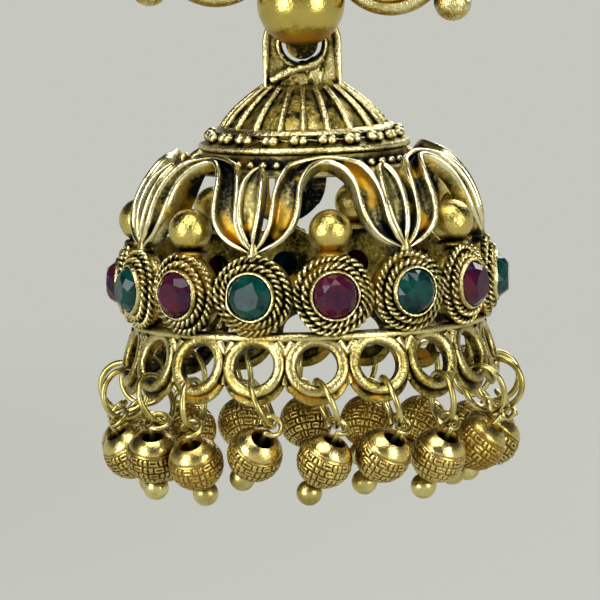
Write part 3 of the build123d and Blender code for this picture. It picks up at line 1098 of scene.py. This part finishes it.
@dataclass
class Stones:
    """Faceted stones with an eight-sided table, one joined mesh for each colour."""

    bell: BellFrame
    finish: bpy.types.Material
    name: str
    node: str
    slot: Slot
    first: int
    seed: int
    sides: int = 8
    # each ring of corners as radius and distance from the bell's axis
    table: tuple[float, float] = (0.98, 15.1)
    crown: tuple[float, float] = (1.34, 14.84)
    girdle: tuple[float, float] = (1.65, 14.34)
    base: tuple[float, float] = (1.65, 14.16)
    back: float = 13.3
    # the point each stone is tilted about, as distance from the bell's axis
    seat: float = 14.0
    most_tilt: float = 3.0
    casting: Casting = field(default_factory=Casting)

    def faces(self, place: Matrix, rng: random.Random) -> None:
        """Add one stone: table, star, kite and girdle facets, and a pointed back.

        Args:
            place: Where the stone goes.
            rng: The source of the table's unevenness.
        """
        sides = self.sides
        angles = round_angles(2 * sides)
        radius, height = self.table
        points = [on_disc(radius * rng.uniform(0.92, 1.08), a, height) for a in angles[::2]]
        radius, height = self.crown
        points += [on_disc(radius, a, height) for a in angles[1::2]]
        for radius, height in (self.girdle, self.base):
            points += [on_disc(radius, a, height) for a in angles]
        points.append(Vector((0, 0, self.back)))
        first, rim = len(self.casting.points), 2 * sides
        self.casting.points.extend(place @ p for p in points)
        self.casting.tarnish_and_shade.extend([0.0] * len(points))
        facets = [tuple(range(sides))]
        for i in range(sides):
            j = (i + 1) % sides
            facets.append((i, j, sides + i))
            facets.append((j, sides + j, rim + 2 * j, sides + i))
            facets.append((sides + i, rim + 2 * i, rim + 2 * i + 1))
            facets.append((sides + i, rim + 2 * i + 1, rim + 2 * j))
        for i in range(rim):
            j = (i + 1) % rim
            facets.append((rim + i, rim + j, 2 * rim + j, 2 * rim + i))
            facets.append((2 * rim + i, 2 * rim + j, 3 * rim))
        self.casting.faces.extend(tuple(first + k for k in facet) for facet in facets)

    def build(self) -> None:
        """Build all stones of this colour as one piece."""
        rng = random.Random(self.seed)
        for turn in self.bell.stone_turns()[self.first::2]:
            lie = turned(rng.uniform(0, 60)) @ turned(rng.uniform(-self.most_tilt, self.most_tilt), "X")
            tilt = moved(0, 0, self.seat) @ lie @ moved(0, 0, -self.seat)
            self.faces(self.bell.outward(turn) @ tilt, rng)
        settle(self.casting.make(self.name, self.finish, smooth=False), Body.BELL, self.slot, [self.node])


@dataclass
class Skirt:
    """The rim under the settings and the eighteen round loops that hang from it."""

    bell: BellFrame
    finish: bpy.types.Material
    reach: float = 13.35
    height: float = -5.18
    flare: float = 16.6
    hole: float = 1.5
    outer: float = 2.38
    steps: int = 72
    rim_steps: int = 180
    # how high a loop's front ring stands, and how flat it is: 0 is flat and 1 is round
    crest_height: float = 0.42
    crest_roundness: float = 0.6
    # where the lip starts and how far it goes round the loop, in degrees
    lip_start: float = -165.0
    lip_sweep: float = 150.0
    lip_steps: int = 36
    lip_reach: float = 2.36
    lip_bulge: float = 0.56
    casting: Casting = field(default_factory=Casting)

    def rim(self) -> None:
        """Add the plain band with its rounded outer face."""
        # the inner faces' high values, 1.3 and 1.0, are painted shade
        band = [(12.0, -3.5, 1.3), (12.9, -3.58, 0.7), (13.14, -3.46, 0.2), (13.24, -3.18, 0.0),
                (13.18, -2.92, 0.0), (13.0, -2.8, 0.4), (12.0, -2.8, 1.0)]
        self.casting.spun(band, self.bell.at(0), self.rim_steps)

    def loop(self, turn: float) -> None:
        """Add one loop: the plate, the bright front ring and the lip behind it.

        Args:
            turn: Where it is round the bell, in degrees.
        """
        place = self.bell.at(turn) @ moved(0, -self.reach, self.height) @ turned(90 - self.flare, "X")
        hole, outer = self.hole, self.outer
        half = (outer - hole) / 2
        # the back face's value of 1.0 is painted shade
        profile = [(hole, -0.45, 1.0), (outer, -0.45, 1.0), (outer + 0.02, -0.2, 0.8)]
        crest_tarnish = [0.55, 0.3] + [0.36] * 8 + [0.6, 1.0]
        for degrees, dark in zip(range(165, -1, -15), crest_tarnish):
            a = math.radians(degrees)
            height = self.crest_height * math.sin(a) ** self.crest_roundness - 0.04
            profile.append((hole + half - half * math.cos(a), height, dark))
        self.casting.spun(profile, place, self.steps)
        self.lip(place)

    def lip(self, place: Matrix) -> None:
        """Add the scalloped lip that stands out behind the lower half of a loop.

        Args:
            place: Where the loop goes.
        """
        rows = []
        steps = self.lip_steps
        for i in range(steps + 1):
            a = math.radians(self.lip_start + self.lip_sweep * i / steps)
            reach = self.lip_reach + self.lip_bulge * math.sin(math.pi * i / steps) ** 0.6
            outline = [(2.2, -0.2), (reach - 0.12, -0.2), (reach, -0.32), (reach, -0.5),
                       (reach - 0.12, -0.6), (2.2, -0.6)]
            rows.append([on_disc(r, a, h) for r, h in outline])
        # the lip's dark values are painted shade: it sits behind the loop
        self.casting.lattice(rows, place, tarnish_and_shade=[1.0, 0.7, 0.35, 0.4, 0.7, 0.9])

    def web(self, turn: float) -> None:
        """Add the forked web between two loops, from the rim down.

        Args:
            turn: Where it is round the bell, in degrees.
        """
        place = self.bell.at(turn)
        low = Vector((0, -12.98, -4.75))
        for side in (-1, 1):
            top = Vector((side * 0.62, -13.02, -3.45))
            bend = Vector((side * 0.16, -13.1, -4.2))
            path = smooth_curve([top, bend, low], 6)
            self.casting.tube(path, [0.42] * len(path), Y_AXIS, place, flatness=0.75, tarnish_and_shade=0.15)
        foot = Vector((0, -13.5, -6.6))
        path = smooth_curve([low, (low + foot) / 2, foot], 5)
        self.casting.tube(path, [0.4] * len(path), Y_AXIS, place, tarnish_and_shade=0.35)

    def build(self) -> None:
        """Build the rim and all loops as one piece."""
        self.rim()
        half = 180 / self.bell.loop_count
        for turn in self.bell.loop_turns():
            self.loop(turn)
            self.web(turn + half)
        settle(self.casting.make("skirt_of_loops", self.finish), Body.BELL, Slot.ANTIQUE, ["bell"])


# --- the crown ----------------------------------------------------------------------


@dataclass
class Crown:
    """The flange with its paired grains, the ribbed dome and the stirrup bail."""

    bell: BellFrame
    finish: bpy.types.Material
    rib_count: int = 20
    rib_steps: int = 20
    # a rib's radius at its foot, and how much of it is gone at the top
    rib_radius: float = 0.35
    rib_taper: float = 0.14
    grain_pairs: int = 21
    grain_aside: float = 0.33
    seed: int = 9
    flange_radius: float = 7.95
    foot: float = 9.9
    slope_foot: tuple[float, float] = (7.62, 10.42)
    slope_top: tuple[float, float] = (6.32, 10.98)
    shell_thickness: float = 0.75
    bail_z: float = 17.7
    bail_hole: float = 1.5
    bail_radius: float = 2.96
    bail_foot: float = 14.1
    bail_half: float = 1.2
    bail_steps: int = 120
    casting: Casting = field(default_factory=Casting)

    # the line of the ribs, as (radius, height) from the foot up
    DOME = ((6.05, 11.5), (5.75, 12.0), (5.3, 12.55), (4.65, 13.2), (3.8, 13.9), (2.9, 14.55))
    # the line of the ridge on the stirrup's faces, as (x, z) from the hole's centre
    RIDGE = ((-2.35, -2.75), (-1.5, -2.25), (-0.5, -1.85), (0.6, -1.6), (1.55, -1.05))

    def shell(self) -> None:
        """Add the flange and the dome as one turned shell, with the spigot below."""
        rim, foot, wall = self.flange_radius, self.foot, self.shell_thickness
        dome = [(r - 0.12, z - 0.08) for r, z in smooth_path(self.DOME, 12)]
        top = dome[-1][1]
        # the spigot's value of 1.2 is painted shade
        profile = [
            (4.95, 9.0, 1.2), (5.65, 9.0, 1.2), (5.65, foot, 1.2), (7.6, foot, 0.9),
            (7.86, foot + 0.04, 0.8), (rim, foot + 0.16, 0.6), (rim, foot + 0.36, 0.1),
            (7.85, foot + 0.5, 0.0), (*self.slope_foot, 0.45), (*self.slope_top, 0.7), (6.2, 10.9, 1.0),
            (6.56, 11.02, 0.2), (6.66, 11.28, 0.0), (6.5, 11.56, 0.0), (6.05, 11.66, 0.3),
        ]
        # the polishing wheel reaches only the feet of the dome's panels
        profile += [(r, z, min(0.72, 0.36 + 0.06 * i)) for i, (r, z) in enumerate(dome)]
        # the values of 1.2 on the dome's inside are painted shade
        profile += [(CORE, top + 0.1, 0.8), (CORE, top - wall, 1.2)]
        profile += [(r - wall, z - wall, 1.2) for r, z in reversed(dome[:-1])]
        self.casting.spun(profile, self.bell.at(0), 144)

    def rib(self, turn: float) -> None:
        """Add one rib of the dome, thicker at its foot.

        Args:
            turn: Where it is round the dome, in degrees.
        """
        steps = self.rib_steps
        path = [Vector((0, -r, z)) for r, z in smooth_path(((6.2, 11.2),) + self.DOME, steps)]
        radii = [self.rib_radius - self.rib_taper * i / steps for i in range(steps + 1)]
        self.casting.tube(path, radii, X_AXIS, self.bell.at(turn), 8, 0.95)

    def slope_height(self, reach: float) -> float:
        """Return the height of the flange's sloping top at a radius."""
        (low_r, low_z), (top_r, top_z) = self.slope_foot, self.slope_top
        return low_z + (top_z - low_z) * (low_r - reach) / (low_r - top_r)

    def scallop(self, turn: float) -> None:
        """Add the thin sagging arc under the band, between two ribs.

        Args:
            turn: Where its middle is round the dome, in degrees.
        """
        steps, width, sag = 8, 330 / self.rib_count, 0.3
        path = []
        for i in range(steps + 1):
            share = i / steps - 0.5
            a = math.radians(share * width)
            reach = self.slope_top[0] + 0.1 + sag * (1 - 4 * share * share)
            height = self.slope_height(reach) + 0.04
            path.append(Vector((reach * math.sin(a), -reach * math.cos(a), height)))
        self.casting.tube(path, [0.1] * len(path), Z_AXIS, self.bell.at(turn), 8, tarnish_and_shade=0.1)

    def grains(self, turn: float, rng: random.Random) -> None:
        """Add a pair of uneven grains on the flange.

        Args:
            turn: Where the pair is round the flange, in degrees.
            rng: The source of the unevenness.
        """
        for side in (-1, 1):
            size = rng.uniform(0.36, 0.46)
            reach = rng.uniform(7.1, 7.25)
            aside = side * self.grain_aside + rng.uniform(-0.05, 0.05)
            at = Vector((aside, -reach, self.slope_height(reach) + 0.75 * size))
            self.casting.globe(at, size, self.bell.at(turn), steps=12)

    def bail_edge(self, angle: float) -> float:
        """Find how far the stirrup's edge is from the hole's centre.

        Args:
            angle: The direction, in radians from the right and up.

        Returns:
            The distance: round above the centre, and straight down to the foot below it.
        """
        across, up = math.cos(angle), math.sin(angle)
        if up >= 0:
            return self.bail_radius
        to_side = self.bail_radius / max(abs(across), 1e-6)
        to_foot = (self.bail_z - self.bail_foot) / -up
        return min(to_side, to_foot)

    def bail_section(self, angle: float) -> Profile:
        """Draw the stirrup from its hole to its edge, with the sunk face between two raised ones.

        Args:
            angle: The direction from the hole's centre, in radians.

        Returns:
            The section as (distance from the centre, distance from the middle plane, tarnish).
        """
        half, near, far = self.bail_half, self.bail_hole, self.bail_edge(angle)
        face = [
            (near + 0.02, 0.55 * half, 0.9), (near, 0.8 * half, 0.3), (near + 0.1, 0.95 * half, 0.0),
            (near + 0.26, half, 0.0), (near + 0.42, 0.93 * half, 0.1), (near + 0.5, 0.72 * half, 0.5),
            (far - 0.62, 0.7 * half, 0.4), (far - 0.5, 0.9 * half, 0.3), (far - 0.3, half, 0.0),
            (far - 0.1, 0.95 * half, 0.0), (far, 0.75 * half, 0.3),
        ]
        return [(r, -d, dark) for r, d, dark in face] + [(r, d, dark) for r, d, dark in reversed(face)]

    def bail(self) -> None:
        """Add the stirrup, and on each of its faces a slanting ridge with solder under it."""
        rows = []
        for step in range(self.bail_steps):
            angle = 2 * math.pi * (step + 0.5) / self.bail_steps
            section = self.bail_section(angle)
            rows.append([Vector((r * math.cos(angle), d, r * math.sin(angle))) for r, d, _ in section])
        place = self.bell.at(0) @ moved(0, 0, self.bail_z)
        self.casting.lattice(rows, place, ring=True, tarnish_and_shade=[dark for _, _, dark in self.bail_section(0.0)])
        for face in (-1, 1):
            ridge = smooth_path(self.RIDGE, 16)
            path = [Vector((x, face * 0.92 * self.bail_half, z)) for x, z in ridge]
            radii = [0.34 + 0.05 * math.sin(2.1 * i) for i in range(len(path))]
            self.casting.tube(path, radii, Y_AXIS, place, tarnish_and_shade=0.1)
            self.solder(path, place, face)

    def solder(self, ridge: Sequence[Vector], place: Matrix, face: int) -> None:
        """Add the lumpy solder that fills one face of the stirrup under its slanting ridge.

        Args:
            ridge: The points of the ridge, about the hole's centre.
            place: Where the stirrup goes.
            face: -1 for the front face, 1 for the back one.
        """
        rows = []
        foot = self.bail_foot - self.bail_z
        deep, full = 0.5 * self.bail_half, 0.8 * self.bail_half
        for i, point in enumerate(ridge):
            outline = [Vector((point.x, face * deep, point.z))]
            for k in range(7):
                lump = 0.12 * math.sin(1.7 * i + 2.3 * k) + 0.08 * math.sin(3.1 * i - 1.9 * k)
                outline.append(Vector((point.x, face * (full + lump), point.z + (foot - point.z) * k / 6)))
            outline.append(Vector((point.x, face * deep, foot)))
            rows.append(outline)
        self.casting.lattice(rows, place, tarnish_and_shade=[0.6, 0.4, 0.2, 0.15, 0.2, 0.2, 0.35, 0.6, 0.6])

    def build(self) -> None:
        """Build flange, dome, ribs, grains and bail as one piece."""
        rng = random.Random(self.seed)
        self.shell()
        for i in range(self.rib_count):
            turn = -0.5 + i * 360 / self.rib_count
            self.rib(turn + rng.uniform(-1.0, 1.0))
            self.scallop(turn + 180 / self.rib_count)
        for i in range(self.grain_pairs):
            self.grains(-3.7 + i * 360 / self.grain_pairs + rng.uniform(-0.6, 0.6), rng)
        self.bail()
        settle(self.casting.make("ribbed_crown", self.finish), Body.BELL, Slot.ANTIQUE, ["crown"])


# --- the stud -----------------------------------------------------------------------


@dataclass
class Stud:
    """The fan that sits on the ear, its scrolls and ball, and the hanging eye behind.

    Heights in its profiles, but for the bar's, are distances in front of the fan's back plane.
    """

    bell: BellFrame
    finish: bpy.types.Material
    ball_finish: bpy.types.Material
    fan_radius: float = 12.7
    fan_edge: float = 1.1
    fan_foot: float = 21.6
    fan_steps: int = 64
    fan_grains: int = 31
    ray_count: int = 15
    plate: float = 1.2
    # each scroll as distance aside, height above the stones and radius
    scroll: tuple[float, float, float] = (6.5, 24.65, 4.4)
    curl: tuple[float, float, float] = (11.3, 21.45, 1.4)
    scroll_border: float = 1.15
    scroll_steps: int = 72
    # the ball's radius, and its centre's height above the stones
    ball: tuple[float, float] = (3.27, 20.9)
    ball_y: float = -1.4
    boss_z: float = 27.8
    boss_petals: int = 12
    hook_radius: float = 1.2
    lean: float = 4.2
    casting: Casting = field(default_factory=Casting)
    ball_casting: Casting = field(default_factory=Casting)

    def at(self, x: float, z: float) -> Matrix:
        """Find a place on the leaning fan's back plane.

        Args:
            x: Millimetres to the right, before the fan leans.
            z: Millimetres above the stones, before it leans.

        Returns:
            The place, whose local Z points to the front.
        """
        ball_z = self.ball[1]
        pivot = moved(0, 0, self.bell.stone_z + ball_z) @ turned(self.lean, "Y")
        return pivot @ moved(x, 0, z - ball_z) @ turned(90, "X")

    def fan(self) -> None:
        """Add the half-round plate with its raised, beaded edge and its rays."""
        outer, inner = self.fan_radius, self.fan_radius - self.fan_edge
        place = self.at(0, self.fan_foot)
        profile = [(outer, 0.0, 0.3), (outer, 0.9, 0.1), (outer - 0.15, 1.6, 0.0), (outer - 0.45, 1.75, 0.0),
                   (outer - 0.8, 1.65, 0.2), (inner, 1.25, 0.9), (0.3, 1.2, 0.6), (0.3, 0.0, 0.3)]
        angles = [math.pi * i / self.fan_steps for i in range(self.fan_steps + 1)]
        self.casting.lathed(lambda _: profile, angles, place, ring=False)
        for i in range(self.fan_grains):
            a = math.pi * (i + 0.5) / self.fan_grains
            self.casting.globe(on_disc(inner - 0.55, a, 1.35), 0.46, place, 12)
        for i in range(self.ray_count):
            a = math.pi * (i + 0.5) / self.ray_count
            ray = [on_disc(r, a, 1.25) for r in (6.6, 7.4, 8.4, 9.4, 10.2)]
            self.casting.tube(ray, [0.12, 0.42, 0.55, 0.42, 0.12], Z_AXIS, place, flatness=0.7)

    def whorl(self, mirror: int) -> None:
        """Add one large scroll: a disc with a ridge that winds in to its eye.

        Args:
            mirror: -1 for the left scroll, 1 for the right one.
        """
        x, z, radius = self.scroll
        place = self.at(mirror * x, z)
        edge, back, border = self.plate + 0.9, 0.03, self.scroll_border
        first = len(self.casting.points)
        self.casting.spun([(CORE, back, 0.3), (radius, back, 0.3), (radius, edge - 0.7, 0.85),
                      (radius - 0.15 * border, edge - 0.3, 0.6), (radius - 0.45 * border, edge - 0.05, 0.1),
                      (radius - 0.8 * border, edge, 0.3), (radius - border, edge - 0.2, 1.0),
                      (0.5 * radius, edge - 0.5, 1.0), (CORE, edge - 0.3, 0.6)], place, self.scroll_steps)
        self.casting.raw_and_reflected.update({i: 1.0 for i in range(first, len(self.casting.points))})
        path = []
        radii = []
        for i in range(self.scroll_steps + 1):
            share = i / self.scroll_steps
            a = math.radians(-150 + 620 * share)
            reach = (radius - border) * (1 - 0.82 * share)
            path.append(Vector((mirror * reach * math.cos(a), reach * math.sin(a), edge - 0.05)))
            radii.append(0.36 - 0.14 * share)
        self.casting.tube(path, radii, Z_AXIS, place)
        self.casting.globe(Vector((0, 0, edge - 0.1)), 0.2 * radius, place, 20)

    def end_curl(self, mirror: int) -> None:
        """Add the small dome at one end of the fan.

        Args:
            mirror: -1 for the left end, 1 for the right one.
        """
        x, z, radius = self.curl
        edge, back = self.plate + 0.9, 0.03
        arc = [math.radians(degrees) for degrees in range(0, 89, 8)]
        dome = [(radius * math.cos(a), edge - 1.3 + 1.4 * math.sin(a), 0.5) for a in arc]
        self.casting.spun([(CORE, back, 0.5), (radius, back, 0.5), *dome, (CORE, edge + 0.1, 0.5)],
                     self.at(mirror * x, z), 48)

    def boss(self) -> None:
        """Add the round swelling in the fan's middle, with a ring of petals."""
        place = self.at(0, self.boss_z)
        self.casting.spun([(CORE, 1.0, 0.5), (5.2, 1.0, 0.8), (5.2, 1.25, 0.8), (4.7, 1.6, 0.4),
                      (3.4, 1.95, 0.6), (1.6, 2.2, 0.5), (CORE, 2.3, 0.3)], place, 72)
        for a in round_angles(self.boss_petals):
            petal = ((1.5, 2.0), (2.2, 2.05), (3.0, 1.95), (3.8, 1.75), (4.5, 1.5))
            path = [on_disc(r, a, h) for r, h in petal]
            self.casting.tube(path, [0.1, 0.36, 0.5, 0.42, 0.12], Z_AXIS, place, flatness=0.6)
        self.casting.globe(Vector((0, 0, 1.9)), 1.0, place, 24)

    def drop_ball(self) -> None:
        """Add the big ball at the fan's foot, cut flat where it meets the back plane."""
        radius, height = self.ball
        arc = [math.radians(a) for a in range(-25, 90, 5)] + [math.radians(89.5)]
        half = [(radius * math.cos(a), radius * math.sin(a) - self.ball_y, 0.0) for a in arc]
        ball = self.ball_casting
        ball.spun([(CORE, 0.0, 0.0), (half[0][0] - 0.1, 0.0, 0.0), *half], self.at(0, height))
        centre_z = self.bell.stone_z + height
        # painted reflection and painted shade: the ball turns darker and orange towards its foot, standing
        # in for the flange below mirrored in it and for the shade under it
        for i, point in enumerate(ball.points):
            below = (centre_z - point.z) / radius
            ball.tarnish_and_shade[i] = min(1.0, max(0.0, 4.0 * (below - 0.45)))
            ball.raw_and_reflected[i] = 1.0

    def eye(self) -> None:
        """Add the thick bar that carries the bell, its riser and the strap above."""
        y = self.bell.axis_y
        axis_z = frame["joints"][0]["pos_m"][2] / MM
        back = (y + 1.45, y + 2.45)
        top = (self.bell.stone_z + 21.1, self.bell.stone_z + 22.1)
        # the bar's dark value of 1.1 is painted shade
        r, length, dark = self.hook_radius, back[1] + 2.4, 1.1
        bar = [(CORE, 0.0, dark), (r - 0.15, 0.0, dark), (r, 0.15, dark), (r, length, dark),
               (CORE, length, dark)]
        self.casting.spun(bar, moved(0, back[1], axis_z) @ turned(90, "X"), 48)
        for low in (Vector((-1, back[0], axis_z)), Vector((-1, -0.3, top[0]))):
            self.casting.slab(low, Vector((1, back[1], top[1])), 0.3)

    def build(self) -> None:
        """Build the fan with its hanging eye, and the polished ball, as two pieces."""
        self.fan()
        for mirror in (-1, 1):
            self.whorl(mirror)
            self.end_curl(mirror)
        self.boss()
        self.eye()
        settle(self.casting.make("fan_stud", self.finish), Body.STUD, Slot.ANTIQUE, ["stud"])
        self.drop_ball()
        settle(self.ball_casting.make("fan_ball", self.ball_finish), Body.STUD, Slot.ANTIQUE, ["stud"])


# --- the drops ----------------------------------------------------------------------


@dataclass
class Beads:
    """Eighteen stamped hollow beads, polished at the mouth and engraved below."""

    finish: bpy.types.Material
    radius: float = 2.06
    wall: float = 0.3
    mouth: float = 0.9
    foot: float = 0.5
    # the latitudes, in radians, between which the rows of marks lie
    polished_to: float = 0.45
    marked_to: float = -1.3
    rows: int = 6
    marks: int = 15
    groove_mm: float = 0.055
    cut_mm: float = 0.1
    # how much of a cell, each way from its middle, the cut mark in it takes
    mark_share: float = 0.22
    around: int = 180
    down: int = 60
    inside_steps: int = 6
    seed: int = 4

    @staticmethod
    def pose(node: str) -> Matrix:
        """Find where a bead hangs from its solid in the frame.

        The outer faces of a ball with two holes leave an area vector that
        points along its axis, away from the larger hole.

        Args:
            node: The bead's node in the frame.

        Returns:
            A place whose origin is the bead's centre and whose Z runs out of its mouth.
        """
        mesh = frame["nodes"][node].data
        low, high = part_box(node)
        middle = (low + high) / 2
        size = max(high - low)
        outer = [v.co for v in mesh.vertices if (v.co - middle).length > 0.46 * size]
        terms = np.array([[*(2 * (co - middle)), 1.0] for co in outer])
        squares = np.array([(co - middle).length_squared for co in outer])
        offset = np.linalg.lstsq(terms, squares, rcond=None)[0][:3]
        centre = middle + Vector(offset)
        pull = Vector((0, 0, 0))
        for face in mesh.polygons:
            if (face.center - centre).length > 0.45 * size and face.normal.dot(face.center - centre) > 0:
                pull -= face.area * face.normal
        up = pull.normalized()
        return Matrix.Translation(centre / MM) @ up.to_track_quat("Z", "Y").to_matrix().to_4x4()

    def cut(self, lift: float, turn: float) -> tuple[float, float]:
        """Find how deep the engraving is at a point of the bead.

        Below a fine line at the edge of the polished mouth, cut lines part the
        bead into rows of cells, each with an upright or a level mark by turns.

        Args:
            lift: The point's latitude in radians.
            turn: Its longitude in radians.

        Returns:
            The depth in millimetres and the tarnish.
        """
        if lift > self.polished_to:
            band = math.exp(-((lift - self.polished_to - 0.08) / 0.03) ** 2)
            return 0.05 * band, 0.6 * band
        place = (self.polished_to - lift) / (self.polished_to - self.marked_to) * self.rows
        row = math.floor(place)
        within = place - row
        row_height = self.radius * (self.polished_to - self.marked_to) / self.rows
        mark_width = 2 * math.pi * self.radius * math.cos(lift) / self.marks
        share = turn / (2 * math.pi) * self.marks + 0.5 * (row % 2) + 0.12 * math.sin(math.pi * within)
        cell = share - math.floor(share)
        gaps = [min(within, 1 - within) * row_height, min(cell, 1 - cell) * mark_width]
        if (row + math.floor(share)) % 2:
            past = max(0.0, abs(cell - 0.5) - self.mark_share) * mark_width
            gaps.append(math.hypot(past, (within - 0.5) * row_height))
        else:
            past = max(0.0, abs(within - 0.5) - self.mark_share) * row_height
            gaps.append(math.hypot(past, (cell - 0.5) * mark_width))
        cut = max(math.exp(-((gap / self.groove_mm) ** 2)) for gap in gaps)
        return self.cut_mm * cut, 0.85 * cut

    def section(self, turn: float) -> Profile:
        """Draw the bead's wall, down its engraved outside and up its plain inside.

        Args:
            turn: The longitude in radians.

        Returns:
            The section, about the bead's centre.
        """
        top = math.acos(self.mouth / self.radius)
        bottom = -math.acos(self.foot / self.radius)
        points = []
        for j in range(self.down + 1):
            lift = top + (bottom - top) * j / self.down
            depth, dark = self.cut(lift, turn)
            reach = self.radius - depth
            points.append((reach * math.cos(lift), reach * math.sin(lift), dark))
        # the inside's value of 1.0 is painted shade in the hollow bead
        inner = self.radius - self.wall
        for j in range(self.inside_steps + 1):
            lift = bottom + (top - bottom) * j / self.inside_steps
            points.append((inner * math.cos(lift) - 0.02, inner * math.sin(lift), 1.0))
        return points

    def build(self, bell: BellFrame) -> None:
        """Build the beads, each a piece of its own on its own place.

        Args:
            bell: The bell they hang from.
        """
        model = Casting()
        model.lathed(self.section, round_angles(self.around), Matrix())
        rng = random.Random(self.seed)
        for number in range(1, bell.loop_count + 1):
            node = f"bead_{number:02d}"
            place = self.pose(node)
            shade, orange = rng.uniform(0.0, 0.34), rng.random()
            bead = Casting([place @ p for p in model.points], model.faces,
                           [dark + shade for dark in model.tarnish_and_shade],
                           dict.fromkeys(range(len(model.points)), orange))
            settle(bead.make(f"engraved_{node}", self.finish), Body.BELL, Slot.BEAD, [node])


def dress_frame_nodes(wire: bpy.types.Material) -> None:
    """Give the rings, head pins and ear post, which stay as they are, their finish.

    Args:
        wire: The finish they get.
    """
    for name, node in frame["nodes"].items():
        if name.startswith("jump_ring") or name in ("head_pins", "ear_post"):
            for slot in node.material_slots:
                slot.material = wire
            LOG.info("%s: kept from the frame", name)


# --- the studio ---------------------------------------------------------------------


@dataclass(frozen=True)
class SoftBox:
    """A lamp that faces the middle of the row of stones.

    Its place is in millimetres from there, its width and height are in
    millimetres and its power is in watts.
    """

    name: str
    place: tuple[float, float, float]
    size: tuple[float, float]
    power: float

    def add(self, centre: Vector) -> None:
        """Add the lamp to the scene.

        Args:
            centre: The point it faces, in millimetres.
        """
        light = bpy.data.lights.new(self.name, "AREA")
        light.shape = "RECTANGLE"
        light.size, light.size_y = (MM * value for value in self.size)
        light.energy = self.power
        lamp = bpy.data.objects.new(self.name, light)
        lamp.location = MM * (centre + Vector(self.place))
        lamp.rotation_euler = Vector(self.place).to_track_quat("Z", "Y").to_euler()
        bpy.context.scene.collection.objects.link(lamp)


@dataclass
class Studio:
    """Pale paper, soft lamps and the camera."""

    bell: BellFrame
    # the camera looks down by the first angle and leans by the second, in degrees
    elevation: float = 5.6
    roll: float = 1.46
    distance: float = 600.0
    lens: float = 480.0
    # how far the middle of the row of stones is right of and above the line of sight
    aside: float = 0.58
    above: float = 1.61
    floor_gap: float = 24.0
    floor_radius: float = 400.0
    floor_sides: int = 64
    lamps: tuple[SoftBox, ...] = (
        SoftBox("left_softbox", (-390, -380, 110), (260, 460), 2.2),
        SoftBox("right_softbox", (380, -390, 90), (230, 420), 1.7),
        SoftBox("top_softbox", (-20, -230, 460), (380, 340), 1.5),
        SoftBox("back_softbox", (170, 420, 330), (320, 260), 1.5),
    )

    def paper(self) -> None:
        """Lay a round sheet of paper under the earring."""
        low = CAD_BOX[0][2] / MM - self.floor_gap
        rim = [MM * self.floor_radius * on_disc(1, a, 0) for a in round_angles(self.floor_sides)]
        mesh = bpy.data.meshes.new("studio_paper")
        mesh.from_pydata(rim, [], [tuple(range(self.floor_sides))])
        mesh.materials.append(StudioPaper().build())
        sheet = bpy.data.objects.new("studio_paper", mesh)
        sheet.location = MM * Vector((0, self.bell.axis_y, low))
        bpy.context.scene.collection.objects.link(sheet)

    def lights(self) -> None:
        """Add the lamps and the pale room."""
        for lamp in self.lamps:
            lamp.add(self.bell.centre())
        bpy.context.scene.world = PaleRoom().build()

    def camera(self) -> None:
        """Add the camera, in front of the bell and a little above it, looking down at it."""
        tip, lean = math.radians(self.elevation), math.radians(self.roll)
        forward = Vector((0, math.cos(tip), -math.sin(tip)))
        level_up = Vector((0, math.sin(tip), math.cos(tip)))
        right = math.cos(lean) * X_AXIS - math.sin(lean) * level_up
        up = math.sin(lean) * X_AXIS + math.cos(lean) * level_up
        place = self.bell.centre() - self.distance * forward - self.aside * right - self.above * up
        data = bpy.data.cameras.new("camera")
        data.lens = self.lens
        camera = bpy.data.objects.new("camera", data)
        turn = Matrix((right, up, -forward)).transposed()
        camera.matrix_world = Matrix.Translation(MM * place) @ turn.to_4x4()
        bpy.context.scene.collection.objects.link(camera)
        bpy.context.scene.camera = camera

    def build(self) -> None:
        """Set up the paper, the lights and the camera."""
        self.paper()
        self.lights()
        self.camera()
        bpy.context.scene.view_settings.view_transform = "Standard"


def main() -> None:
    """Build every piece, from the stud down to the drops, and then the studio."""
    logging.basicConfig(level=logging.INFO, format="%(name)s %(message)s")
    bell = BellFrame.read()
    satin = CastFinish.SATIN.value.build()
    Stud(bell, satin, CastFinish.POLISHED.value.build()).build()
    Crown(bell, CastFinish.DOME.value.build()).build()
    BellWall(bell, CastFinish.PETALS.value.build()).build()
    Balls(bell, CastFinish.BALLS.value.build()).build()
    Settings(bell, satin, CastFinish.TWIST.value.build()).build()
    ruby = FacetedGlass("ruby_glass", "#58122A", "#280E2C").build()
    Stones(bell, ruby, "faceted_rubies", "ruby_stones", Slot.RUBY, first=0, seed=11).build()
    green = FacetedGlass("green_glass", "#06463E", "#04282A").build()
    Stones(bell, green, "faceted_greens", "green_stones", Slot.GREEN, first=1, seed=12).build()
    Skirt(bell, CastFinish.LOOPS.value.build()).build()
    Beads(CastFinish.BEADS.value.build()).build(bell)
    dress_frame_nodes(DrawnWireGold().build())
    Studio(bell).build()


if __name__ == "__main__":
    main()
